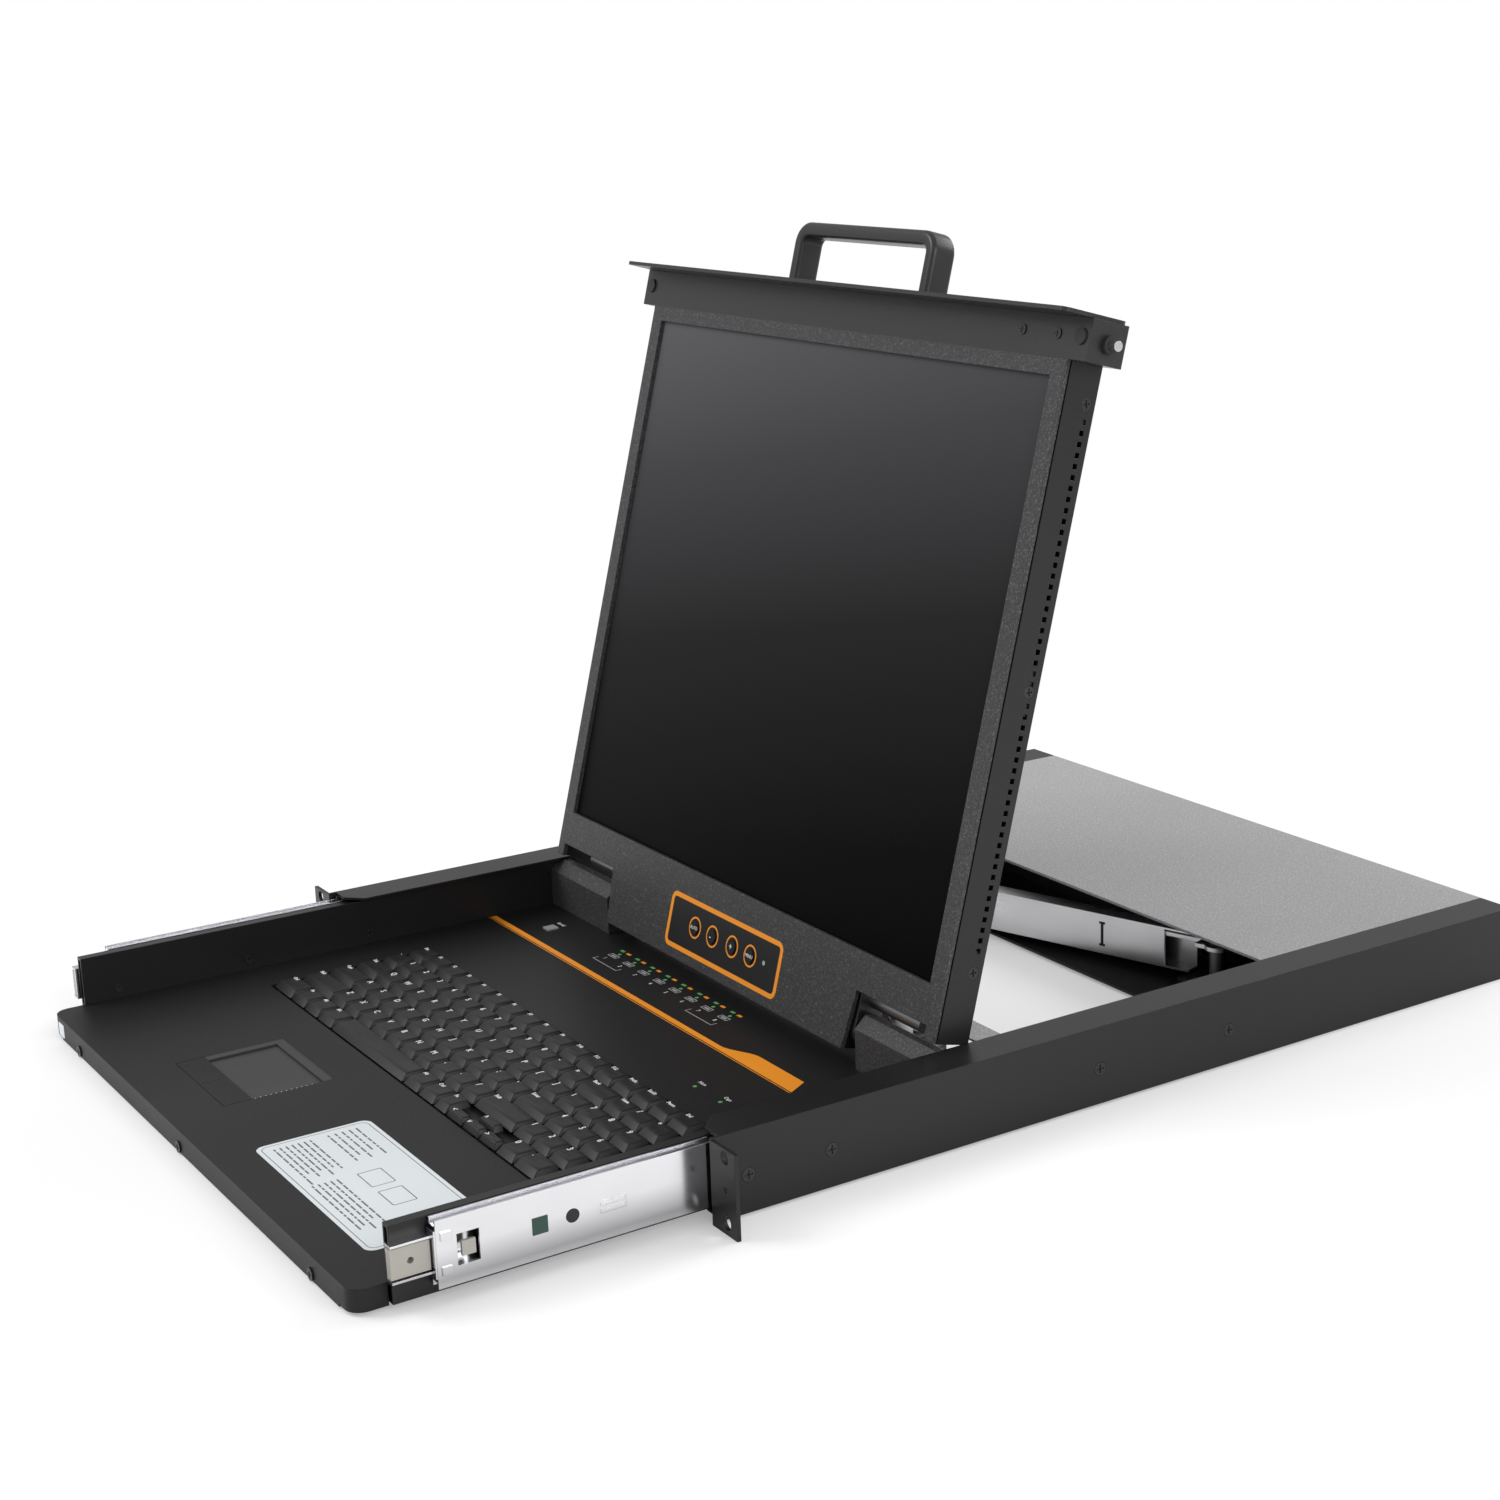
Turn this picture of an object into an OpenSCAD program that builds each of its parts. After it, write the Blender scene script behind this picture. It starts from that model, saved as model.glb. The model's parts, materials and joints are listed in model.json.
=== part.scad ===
// Rack console: a 1U drawer with keyboard and touchpad, and a display that folds onto it.
// Frame: X to the right seen from the front, Y into the rack, Z up.
// The origin is the centre of the rack-ear bolt pattern, on the front face of the ears.
// The model rests with the drawer partly pulled out and the display standing up.

/* [Rack ears] */
// Width over both ears
rack_w = 482.6; // [479:0.1:486]
// Sideways spacing of the ear holes
hole_dx = 465.12; // [463:0.01:467]
// Upright spacing of the outer ear holes
hole_dz = 31.75; // [30:0.01:33]
// Diameter of the outer ear holes
hole_d = 6.8; // [5:0.1:7.5]
// Diameter of the pilot hole in the middle of an ear
pilot_d = 3; // [2:0.1:5]
// Thickness of the ear plate
ear_t = 2; // [1.5:0.1:3]
// Height of the ear top above the centre line
ear_top = 20; // [19.5:0.1:20.8]
// Depth of the ear bottom below the centre line
ear_low = 21.8; // [21.4:0.1:22.2]

/* [Chassis] */
// Width over the chassis side walls
body_w = 442; // [441:0.1:443]
// Height of the chassis top above the centre line
body_top = 21; // [20.9:0.1:22]
// Depth of the chassis bottom below the centre line
body_low = 20.5; // [20.3:0.1:21.3]
// Depth of the chassis behind the ear face
body_d = 524; // [520:1:560]
// Thickness of the chassis sheet
sheet_t = 1.5; // [1.2:0.1:1.6]
// Width of the top flange of a side channel
flange_w = 22.5; // [18:0.5:23]
// Width of the bottom flange of a side channel
low_flange_w = 14; // [12:0.5:14.5]
// Distance from the ear face to the front edge of the top flange
flange_y = 4.4; // [3:0.1:8]
// Size of the chamfer on the front corner of a flange
flange_chamfer = 10; // [4:0.5:14]
// Distance from the ear face to the front edge of the rear cover
cover_y = 353.5; // [350:0.5:380]
// Distance from the ear face to the front wall of the electronics box
box_y = 416; // [405:1:425]
// Distance from the ear face to the front edge of the bottom pan
pan_y = 335; // [325:1:345]

/* [Slides] */
// Depth of one slide beside the drawer
slide_gap = 10; // [10:0.1:10.2]
// Thickness of the slide sheet
slide_t = 1.1; // [1:0.05:1.15]
// Half height of the fixed slide member
fixed_half = 17.2; // [17:0.05:17.2]
// Height of the slide centre line above the origin
slide_z = 2.25; // [2.1:0.05:2.3]
// Distance from the ear face to the front end of the fixed member
fixed_y = 25; // [22:1:40]
// Length of the fixed member
fixed_len = 400; // [380:1:405]
// Length of the middle member
mid_len = 400; // [380:1:410]
// How far the middle member stands out in front of the ears
mid_out = 132.5; // [125:0.5:140]
// Length of the inner member
inner_len = 334; // [300:1:345]
// Diameter of the slide balls
ball_d = 3; // [2.9:0.02:3.04]
// Length of one ball cage
cage_len = 110; // [90:1:112]
// Balls in one row of a cage
cage_balls = 6; // [3:1:8]

/* [Drawer] */
// Thickness of the drawer sheet
deck_t = 1.2; // [1:0.05:1.3]
// Depth of the deck top below the centre line
deck_low = 9.1; // [8.8:0.1:9.3]
// Depth of the drawer front lip below the centre line
lip_low = 21.2; // [20.8:0.1:21.6]
// How far the drawer lip stands out in front of the ears
lip_out = 167; // [160:1:170]
// How far the side walls stand out in front of the ears
wall_out = 150; // [145:1:155]
// Height of the side wall top above the centre line
wall_top = 17.9; // [16:0.1:18.5]
// Thickness of a folded side wall
wall_t = 5.5; // [4:0.1:6]
// Depth of the drawer behind the ear face
drawer_back = 182; // [180:1:186]
// Inset of the deck's front part from the side walls
deck_inset = 3.7; // [2:0.1:6]
// Radius of the front corners of the deck
corner_r = 8; // [4:0.5:10]
// Length of a front corner block along the lip
corner_len = 14; // [12:0.5:18]

/* [Keyboard] */
// Left edge of the keyboard opening from the centre
kb_left = 172; // [168:0.5:180]
// Width of the keyboard opening
kb_w = 324; // [310:1:330]
// How far the keyboard opening stands out in front of the ears
kb_out = 56.5; // [50:0.5:62]
// Depth of the keyboard opening
kb_d = 97.5; // [88:0.5:102]
// Pitch of the key rows
row_pitch = 15.9; // [14:0.1:16.2]
// Gap between neighbouring key caps
key_gap = 1.6; // [1:0.1:2.5]
// Height of a key cap
key_h = 3.4; // [2.6:0.1:3.6]
// Height of the key tops above the deck
key_proud = 2.9; // [2:0.1:3.2]
// Travel of a key
key_travel = 2.2; // [1.5:0.1:2.4]
// Diameter of a key stem
stem_d = 4; // [3:0.1:5]

/* [Touchpad] */
// Left edge of the touchpad opening from the centre
pad_left = 90; // [85:0.5:95]
// Width of the touchpad opening
pad_w = 70; // [60:0.5:76]
// How far the touchpad opening stands out in front of the ears
pad_out = 139; // [136:0.5:143]
// Depth of the touchpad opening
pad_d = 58; // [50:0.5:62]
// Depth of the two buttons in front of the pad
pad_button_d = 15; // [10:0.5:18]
// Depth of the pad surface below the deck
pad_sink = 1.2; // [0.8:0.1:1.6]
// Travel of a touchpad button
pad_travel = 0.8; // [0.5:0.1:1]

/* [Display] */
// Tilt of the standing display from upright, in degrees
lcd_tilt = 14.5; // [10:0.5:18]
// Width over the display housing
lcd_w = 396; // [394:0.5:398]
// Depth of the display housing
lcd_d = 22; // [21.5:0.1:22.2]
// Width of the screen opening
screen_w = 374; // [360:1:377]
// Height of the screen opening
screen_h = 300; // [290:1:302]
// Height of the housing above the screen bottom
lcd_h = 308.4; // [306:0.1:312]
// Thickness of the front bezel
bezel_t = 2.5; // [1.5:0.1:2.8]
// Wall of the back shell
shell_t = 1.5; // [1:0.1:2]
// Seam between the bezel and the back shell
seam = 0.5; // [0.3:0.1:1]
// Distance of the hinge axis below the screen bottom
axis_drop = 42; // [41.5:0.1:42.4]
// Distance of the hinge axis behind the front face
axis_depth = 11; // [10.8:0.1:11.2]
// Distance of the hinge axis behind the ear face
axis_y = 145.2; // [144.8:0.1:145.6]
// Height of the hinge axis above the centre line
axis_z = 8.3; // [8.1:0.1:8.5]
// Diameter of the hinge pins
pin_d = 6; // [4:0.1:7]
// Width of the skirt between the hinges
skirt_w = 250; // [240:0.5:251]
// Reach of the skirt below the screen bottom
skirt_drop = 52; // [50:0.5:52.5]
// Height of a corner cut-out's top edge below the screen bottom
cut_drop = 20; // [18:0.5:23]
// Width of the bottom corner tongue beside a cut-out
tongue_w = 7; // [6:0.5:10]
// Reach of that tongue below the screen bottom
tongue_drop = 27.5; // [26:0.5:27.8]
// Width over the top cap
cap_w = 423; // [421:0.5:424]
// Height of the top cap
cap_h = 20.6; // [19:0.1:22]
// Inset of the front plate from the cap's ends
plate_inset = 1.5; // [0.5:0.1:3]
// Thickness of the front plate
plate_t = 2; // [1.5:0.1:3]
// Overhang of the front plate in front of the display face
plate_over = 17; // [15:0.5:17.5]
// Width over the handle
handle_w = 133; // [110:1:160]
// Rise of the handle above the front plate
handle_h = 34; // [26:1:40]
// Height of the handle bar's section
bar_h = 8; // [7:0.5:11]
// Depth of the handle bar's section
bar_d = 15; // [6:0.5:17]
// Travel of a latch pin
latch_travel = 6; // [4:0.5:6.5]

/* [Cable arm] */
// Distance from one arm pivot to the next
arm_len = 320; // [318:0.5:322]
// Angle of each link from the slide direction, in degrees
arm_angle = 71.4; // [71:0.1:71.8]
// Height of an arm link
arm_h = 24; // [18:0.5:25]
// Depth of an arm link
arm_d = 11; // [9:0.5:11.2]
// Sheet of an arm link
arm_t = 1.2; // [1:0.1:1.5]
// Distance of the arm pivots to the right of the centre
arm_x = 135; // [132:0.5:137]
// Distance of the fixed arm pivot behind the ear face
arm_y = 380; // [379:0.5:382]

/* [Hidden] */
$fn = 48;
over = 0.6; // overrun of every cut
fit = 0.05; // running clearance of a pin or ball on its radius
slip = 0.3; // clearance between pieces that pass or drop in
in_x = body_w / 2 - sheet_t; // inner face of a chassis side wall
in_top = body_top - sheet_t; // underside of the top flanges
in_low = body_low - sheet_t; // upper face of the bottom flanges, below the centre line
wall_x = in_x - slide_gap; // outer face of a drawer side wall
skin_x = wall_x - deck_t; // inner face of that wall's outer skin
wall_in = wall_x - wall_t; // inner face of the folded wall
floor_gap = 0.5; // clearance of the drawer above the chassis floor
drawer_low = in_low - floor_gap;
floor_t = 1;
rack_clear = 0.3; // clearance of the cover and the pan beside the flanges
flange_x = body_w / 2 - flange_w; // free edge of a top flange
low_flange_x = body_w / 2 - low_flange_w; // free edge of a bottom flange

// Slide sections, as distances from the side wall and half heights from the slide line
mid_web = 1.8; // chassis wall to the outer face of the middle member
mid_gap = 0.35; // fixed lip to the shoulder of the middle member
lip_reach = 8.5; // chassis wall to the free edge of the fixed lips
groove_near = 3; // chassis wall to the near side of the ball groove
groove_room = 1.4; // width of the ball groove beyond the ball
groove_w = ball_d + groove_room;
race = ball_d + 2 * fit; // room that one ball takes between two races
fixed_in = fixed_half - slide_t;
mid_half = fixed_in - mid_gap;
groove_half = fixed_in - race;
groove_in = groove_half - slide_t;
inner_half = groove_in - race;
ball_x = in_x - groove_near - groove_w / 2;
cage_t = 0.6; // thickness of a cage strip
cage_w = groove_w - 2 * slip;
cage_outer_y = 92; // front end of the outer cages
cage_inner_y = 56; // how far the inner cages stand out in front of the ears
inner_out = 152; // how far the inner members stand out in front of the ears
bumper_len = 18; // nylon block at the front of an inner member
bumper_w = 4;
bumper_h = 14;
bumper_hole = 3;
window_out = 123; // front edge of the window in the middle member
window_l = 10.4;
window_h = 14.5;
slide_hole_d = 5;
slide_holes_out = [84.4, 68.5, 49]; // holes along the middle member

// Drawer details
deck_z = -deck_low;
under_z = deck_z - deck_t;
deck_w = 2 * (wall_x - deck_inset); // width of the deck at its front edge
wall_hem = 1.2;
hinge_room = 7; // skirt to the inner end of a hinge block
hinge_in_x = skirt_w / 2 + hinge_room;
block_front = 8.7; // hinge axis to the front face of a block
block_rise = 4.7; // hinge axis to the top of that face
block_top = in_top - axis_z - slip; // hinge axis to the top of a block
block_top_fwd = 2.2; // hinge axis to the front edge of that top
block_top_back = 1.8; // hinge axis to the rear edge of that top
block_back = 9.8; // hinge axis to the rear face
block_back_rise = 5.7; // hinge axis to the top of the rear face
pin_grip = 18;
pin_end = hinge_in_x + pin_grip; // outer end of a hinge pin
deck_end = 9.8; // deck behind the hinge axis
beam_y = 166.5; // front edge of the drawer's rear cover
beam_z = 19.2; // top of the drawer's rear cover
beam_down = 6; // folded edge at the rear of that cover
foot_h = 1.2; // small foot under a corner block
foot_d = 8;
lip_screw_d = 6;
lip_screw_head = 0.8;
lip_screw_shares = [-0.392, -0.0153, 0.392]; // screws along the front lip, as shares of its width
lip_screw_drop = 18.2;
wall_screw_out = [130.6, 56, -17.2]; // screws along a side wall, ahead of the ears
wall_screw_drop = 3;
wall_screw_z = -wall_screw_drop;
wall_screw_d = 5;
wall_screw_head = 0.4;
side_screw_d = 7;
side_screw_head = 1;
side_screw_y = [18.9, 64.2, 224.6, 310.9]; // countersunk screws along a chassis wall
side_screw_drop = 1.7;
side_screw_z = -side_screw_drop;
light_d = 2.4;
light_pitch = 17.7;
light_count = 8;
light_left = 95.9;
light_x = -light_left; // first port light
light_y = 124.2;
lock_light_x = 101; // first of the three lock lights
lock_light_y = 60;
lock_pitch = 25;
lock_count = 3;
light_board_t = 1.6;
light_margin = 6;
light_body = 3.2; // body of a light under the deck
bank_left = 162.6;
bank_x = -bank_left; // push button at the left of the port lights
bank_y = 113.8;
bank_w = 7;
bank_proud = 0.8;
bank_travel = 0.5;

// Keyboard rows, front to back, as shares of a row's width
first_row_shares = [1.39, 1.01, 1.01, 1.06, 5.08, 1, 1, 0.8, 1, 1, 1, 1.01, 1.2];
row_shares = [
  first_row_shares,
  [2.25, 1, 1, 1, 1, 1, 1, 1, 1, 1, 1, 2.35, 1, 1, 1],
  [1.75, 1, 1, 1, 1, 1, 1, 1, 1, 1, 1, 1, 1.85, 1, 1, 1],
  [1.5, 1, 1, 1, 1, 1, 1, 1, 1, 1, 1, 1, 1, 1.1, 1, 1, 1],
  [1, 1, 1, 1, 1, 1, 1, 1, 1, 1, 1, 1, 1, 1.6, 1, 1, 1],
  [1, 1, 1, 1, 1, 1, 1, 1, 1, 1, 1, 1, 1, 1, 1, 1, 1]
];
space_key = 4; // place of the space bar in the first row
first_arrow = 8; // place of the first arrow key
last_arrow = 10;
kb_edge = 1; // opening edge to the outer key caps
key_front_share = 0.26; // sloped front of a cap, as a share of its depth
key_back_share = 0.06;
key_side_share = 0.08; // sloped side of a cap, as a share of its depth
kb_flange = 4;
kb_base_h = 6.4; // depth of the keyboard base under the deck
kb_floor = 4.4; // thickness of the base floor
stem_clear = 0.1;
stem_tail = 1.2; // stem end above the underside of the floor

// Touchpad
pad_wall = 5.5; // bevelled band at the left and the back of the pad
pad_frame_h = 6;
pad_board_t = 1.2;
pad_button_t = 2.4;
pad_gap = 0.25;

// Display details
glass_t = 1.2;
glass_lap = 3;
panel_t = 7;
panel_lap = 5;
board_t = 1.6;
lcd_board_w = 150;
lcd_board_h = 110;
lcd_board_z = 60;
lcd_board_gap = 3.4; // driver board to the back wall
boss_d = 7;
vent_count = 50;
vent_first = 20;
vent_last = 281;
vent_size = 2.6;
vent_depth = 17; // vents behind the front face
lcd_screw_z = [9, 149.3, 289.7];
lcd_screw_depth = 16.5;
lcd_screw_d = 6;
lcd_screw_shank = 3;
tab_h = 24;
tab_t = 1.4;
skirt_slant = 4; // extra half width of the bezel skirt at its top
arm_plate_t = 4; // hinge arm beside the skirt
arm_gap = 0.4;
arm_r = 7.5;
barrel_d = 9;
barrel_drop = 25;
barrel_depth = 14;
barrel_room = 18; // barrel end to the bottom tongue
barrel_end = lcd_w / 2 - tongue_w - barrel_room;
osd_w = 118;
osd_h = 31.5;
osd_drop = 15;
osd_button_x = [-29.8, -11, 10, 28.9];
osd_button_drop = 30;
osd_button_d = 8;
osd_button_proud = 1;
osd_button_in = 4; // button end behind the front face
osd_travel = 0.7;
osd_board_depth = osd_button_in + osd_travel + slip;
led_x = 43;
led_d = 2.4;
cap_t = 2;
plate_w = cap_w - 2 * plate_inset;
cap_screw_in = [51.8, 24.4]; // screws along the cap, from its end
cap_screw_x = [for (d = cap_screw_in) cap_w / 2 - d];
cap_screw_d = 5.4;
cap_screw_head = 0.6;
cap_screw_len = 6;
bumper_in = 6.8;
bumper_x = cap_w / 2 - bumper_in;
disc_d = 8;
disc_t = 1;
cap_mark = 11.4; // cap fasteners above the housing top
latch_depth = 11.4;
latch_rise = 9.8; // latch pins above the housing top
latch_d = 5;
latch_tip = in_x - slip; // outer end of a latch pin
latch_guide_in = 21.5; // cap end to its inner guide wall
latch_guide_x = cap_w / 2 - latch_guide_in;
latch_tail = 4;
latch_in = latch_guide_x - latch_tail; // inner end of a latch pin
latch_stop_d = 9;
latch_stop_w = 2;
latch_spring = 6; // closed length of the latch spring
latch_stop_x = latch_guide_x + cap_t + latch_spring + latch_travel;
collar_d = 9;
collar_w = 3;
handle_r = 12;
plate_r = 4;
handle_depth = 12.6;
keeper_y = 4;
keeper_l = 20;
keeper_low = 4;
keeper_high = 19;
keeper_t = 1.2;
keeper_pin_y = 13;
keeper_pin_z = 8.7;

// Cable arm details
arm_offset = 1.5; // pivot line to the near face of a link
arm_drop = 15;
arm_z = -arm_drop; // underside of the links
arm_start = 20; // end pivots to the end of a link's channel
lug_r = 8;
lug_t = 2.4;
lug_a_z = 4; // underside of the rear link's lugs
lug_b_z = 1; // underside of the front link's lugs
arm_pin_d = 6;
arm_head = 9;
arm_head_t = 1.5;
cover_lap = 16; // link cover set back from the pivots
post_d = 10;
foot_w = 44;
bracket_t = 2;
slot_half = 14; // free run of the open pivot each way
slot_wall = 4;
bracket_drop = 3;
bracket_z = -bracket_drop; // underside of the drawer bracket
post_w = 6;

// Electronics box
pcb_drop = 15;
pcb_z = -pcb_drop;
pcb_left = 62;
pcb_right = 190;
pcb_x = [-pcb_left, pcb_right];
pcb_y = 428;
pcb_end = 516;
stand_d = 6;
stand_in = 8;
psu_left = 200;
psu_w = 122;
psu_x = [-psu_left, psu_w - psu_left];
psu_y = 428;
psu_end = 508;
psu_top = 12;
slot_w = 2;
slot_pitch = 8;
port_w = 28;
port_h = 12;
port_pitch = 31;
port_count = 8;
port_left = 60;
port_x = -port_left;
port_deep = 16;
port_out = 5;
shell_inset = 3;
console_z = 2.5;
console_w = 31;
console_count = 3;
console_pitch = 40;
console_left = 40;
console_x = -console_left;
inlet_left = 188;
inlet_x = -inlet_left;
inlet_w = 27;
inlet_h = 20;
inlet_drop = 8;
inlet_z = -inlet_drop;
inlet_deep = 14;
inlet_lip = 3;
inlet_out = 2.5;
rocker_left = 132;
rocker_x = -rocker_left;
rocker_w = 12;
rocker_h = 17;
rocker_drop = 6;
rocker_z = -rocker_drop;
rocker_frame = 2;
rocker_r = 11;
rocker_axis = 8;
rocker_pin = 3;

// Shared helpers
module slab(x, y, z) {
  translate([x[0], y[0], z[0]])
    cube([x[1] - x[0], y[1] - y[0], z[1] - z[0]]);
}

// Extrudes an X-Z outline from y0 to y1
module along_y(y0, y1) {
  translate([0, y1, 0])
    rotate([90, 0, 0])
      linear_extrude(y1 - y0)
        children();
}

// Extrudes a Y-Z outline from x0 to x1
module along_x(x0, x1) {
  translate([x0, 0, 0])
    rotate([90, 0, 90])
      linear_extrude(x1 - x0)
        children();
}

// A round bar along X, from x0 to x1
module rod_x(x0, x1, y, z, d) {
  translate([x0, y, z])
    rotate([0, 90, 0])
      cylinder(h = x1 - x0, d = d);
}

// A round bar along Y, from y0 to y1
module rod_y(y0, y1, x, z, d) {
  translate([x, y1, z])
    rotate([90, 0, 0])
      cylinder(h = y1 - y0, d = d);
}

// A round bar along Z, from z0 to z1
module rod_z(z0, z1, x, y, d) {
  translate([x, y, z0])
    cylinder(h = z1 - z0, d = d);
}

// Draws its children on the right, or mirrored on the left
module on_side(side) {
  mirror([side < 0 ? 1 : 0, 0, 0])
    children();
}

module both_sides() {
  for (side = [-1, 1])
    on_side(side)
      children();
}

// Rectangle with rounded corners, from its low corner
module round_rect(w, h, r) {
  translate([0, r])
    square([w, h - 2 * r]);
  translate([r, 0])
    square([w - 2 * r, h]);
  for (x = [r, w - r], y = [r, h - r])
    translate([x, y])
      circle(r);
}

function total(list, n, i = 0) = i >= n ? 0 : list[i] + total(list, n, i + 1);

// Chassis

module side_channel() {
  color([0.07, 0.07, 0.08])
    difference() {
      union() {
        slab([in_x, body_w / 2], [0, body_d], [-body_low, body_top]);
        slab([flange_x, in_x], [flange_y, body_d], [in_top, body_top]);
        slab([low_flange_x, in_x], [flange_y, body_d], [-body_low, -in_low]);
        slab([in_x, rack_w / 2], [0, ear_t], [-ear_low, ear_top]);
      }
      for (z = [-hole_dz / 2, hole_dz / 2])
        rod_y(-over, ear_t + over, hole_dx / 2, z, hole_d);
      rod_y(-over, ear_t + over, hole_dx / 2, 0, pilot_d);
      translate([flange_x, flange_y, in_top - over])
        linear_extrude(sheet_t + 2 * over)
          polygon([
            [-over, -over],
            [flange_chamfer, -over],
            [-over, flange_chamfer]
          ]);
      for (y = side_screw_y)
        rod_x(in_x - over, body_w / 2 + over, y, side_screw_z, side_screw_d);
    }
}

module side_channels() {
  both_sides()
    side_channel();
}

module chassis_screws() {
  color([0.2, 0.2, 0.21])
    both_sides()
      for (y = side_screw_y)
        rod_x(body_w / 2 - side_screw_head, body_w / 2, y, side_screw_z, side_screw_d);
}

module rear_top_cover() {
  color([0.12, 0.12, 0.13])
    slab(
      [rack_clear - flange_x, flange_x - rack_clear],
      [cover_y, body_d],
      [in_top, body_top]
    );
}

module bottom_pan() {
  half = low_flange_x - rack_clear;
  color([0.1, 0.1, 0.11]) {
    slab([-half, half], [pan_y, body_d], [-body_low, -in_low]);
    slab(
      [lip_reach + slip - in_x, in_x - lip_reach - slip],
      [box_y, box_y + sheet_t],
      [-in_low, in_top]
    );
    for (x = [pcb_x[0] + stand_in, pcb_x[1] - stand_in], y = [pcb_y + stand_in, pcb_end - stand_in])
      rod_z(-in_low, pcb_z, x, y, stand_d);
  }
}

module rear_panel() {
  half = in_x - slip;
  color([0.1, 0.1, 0.11])
    difference() {
      slab([-half, half], [body_d - sheet_t, body_d], [-in_low, in_top]);
      for (i = [0 : port_count - 1])
        slab(
          [port_x + i * port_pitch, port_x + i * port_pitch + port_w],
          [body_d - sheet_t - over, body_d + over],
          [pcb_z + board_t, pcb_z + board_t + port_h]
        );
      for (i = [0 : console_count - 1])
        slab(
          [console_x + i * console_pitch, console_x + i * console_pitch + console_w],
          [body_d - sheet_t - over, body_d + over],
          [console_z, console_z + port_h]
        );
      slab(
        [inlet_x, inlet_x + inlet_w],
        [body_d - sheet_t - over, body_d + over],
        [inlet_z, inlet_z + inlet_h]
      );
      slab(
        [rocker_x - rocker_frame, rocker_x + rocker_w + rocker_frame],
        [body_d - sheet_t - over, body_d + over],
        [rocker_z - rocker_frame, rocker_z + rocker_h + rocker_frame]
      );
    }
}

module kvm_board() {
  color([0.05, 0.3, 0.15])
    slab(pcb_x, [pcb_y, pcb_end], [pcb_z, pcb_z + board_t]);
}

// One socket: its body inside the box and its rim outside the panel
module socket(x, z, w) {
  difference() {
    slab([x, x + w], [body_d - port_deep, body_d + port_out], [z, z + port_h]);
    slab(
      [x + shell_inset, x + w - shell_inset],
      [body_d, body_d + port_out + over],
      [z + shell_inset, z + port_h - shell_inset]
    );
  }
}

module rear_ports() {
  color([0.1, 0.2, 0.55]) {
    for (i = [0 : port_count - 1])
      socket(port_x + i * port_pitch, pcb_z + board_t, port_w);
    for (i = [0 : console_count - 1])
      socket(console_x + i * console_pitch, console_z, console_w);
  }
}

module power_supply() {
  color([0.55, 0.56, 0.58])
    difference() {
      slab(psu_x, [psu_y, psu_end], [-in_low, psu_top]);
      for (x = [psu_x[0] + slot_pitch : slot_pitch : psu_x[1] - slot_pitch])
        slab(
          [x, x + slot_w],
          [psu_y + slot_pitch, psu_end - slot_pitch],
          [psu_top - slot_w, psu_top + over]
        );
    }
}

module power_inlet() {
  z = [inlet_z, inlet_z + inlet_h];
  color([0.08, 0.08, 0.08])
    difference() {
      slab([inlet_x, inlet_x + inlet_w], [body_d - inlet_deep, body_d + inlet_out], z);
      slab(
        [inlet_x + inlet_lip, inlet_x + inlet_w - inlet_lip],
        [body_d - inlet_deep + inlet_lip, body_d + inlet_out + over],
        [z[0] + inlet_lip, z[1] - inlet_lip]
      );
    }
  switch_frame();
}

rocker_cy = body_d - rocker_axis;
rocker_cz = rocker_z + rocker_h / 2;

module switch_frame() {
  color([0.06, 0.06, 0.06])
    difference() {
      slab(
        [rocker_x - rocker_frame, rocker_x + rocker_w + rocker_frame],
        [rocker_cy - rocker_pin, body_d + rocker_frame],
        [rocker_z - rocker_frame, rocker_z + rocker_h + rocker_frame]
      );
      slab(
        [rocker_x - slip, rocker_x + rocker_w + slip],
        [rocker_cy - rocker_pin - over, body_d + rocker_frame + over],
        [rocker_z, rocker_z + rocker_h]
      );
      rod_x(
        rocker_x - rocker_frame - over, rocker_x + rocker_w + rocker_frame + over,
        rocker_cy, rocker_cz, rocker_pin + 2 * fit
      );
    }
}

module power_rocker() {
  color([0.15, 0.15, 0.15]) {
    intersection() {
      rod_x(rocker_x, rocker_x + rocker_w, rocker_cy, rocker_cz, 2 * rocker_r);
      slab(
        [rocker_x, rocker_x + rocker_w],
        [rocker_cy, rocker_cy + rocker_r],
        [rocker_cz - rocker_h / 3, rocker_cz + rocker_h / 3]
      );
    }
    rod_x(
      rocker_x - rocker_frame, rocker_x + rocker_w + rocker_frame,
      rocker_cy, rocker_cz, rocker_pin
    );
  }
}

module latch_keepers() {
  color([0.3, 0.3, 0.32])
    both_sides()
      difference() {
        slab([in_x - keeper_t, in_x], [keeper_y, keeper_y + keeper_l], [-keeper_low, keeper_high]);
        rod_x(in_x - keeper_t - over, in_x + over, keeper_pin_y, keeper_pin_z, latch_d + 2 * slip);
      }
}

// Slides

// Two mirrored strips, above and below the slide centre line
module slide_strips(x0, x1, h0, h1, y0, y1) {
  slab([x0, x1], [y0, y1], [slide_z + h0, slide_z + h1]);
  slab([x0, x1], [y0, y1], [slide_z - h1, slide_z - h0]);
}

module fixed_slide() {
  y1 = fixed_y + fixed_len;
  color([0.75, 0.76, 0.78]) {
    slab([in_x - slide_t, in_x], [fixed_y, y1], [slide_z - fixed_half, slide_z + fixed_half]);
    slide_strips(in_x - lip_reach, in_x - slide_t, fixed_in, fixed_half, fixed_y, y1);
  }
}

module fixed_slides() {
  both_sides()
    fixed_slide();
}

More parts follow.
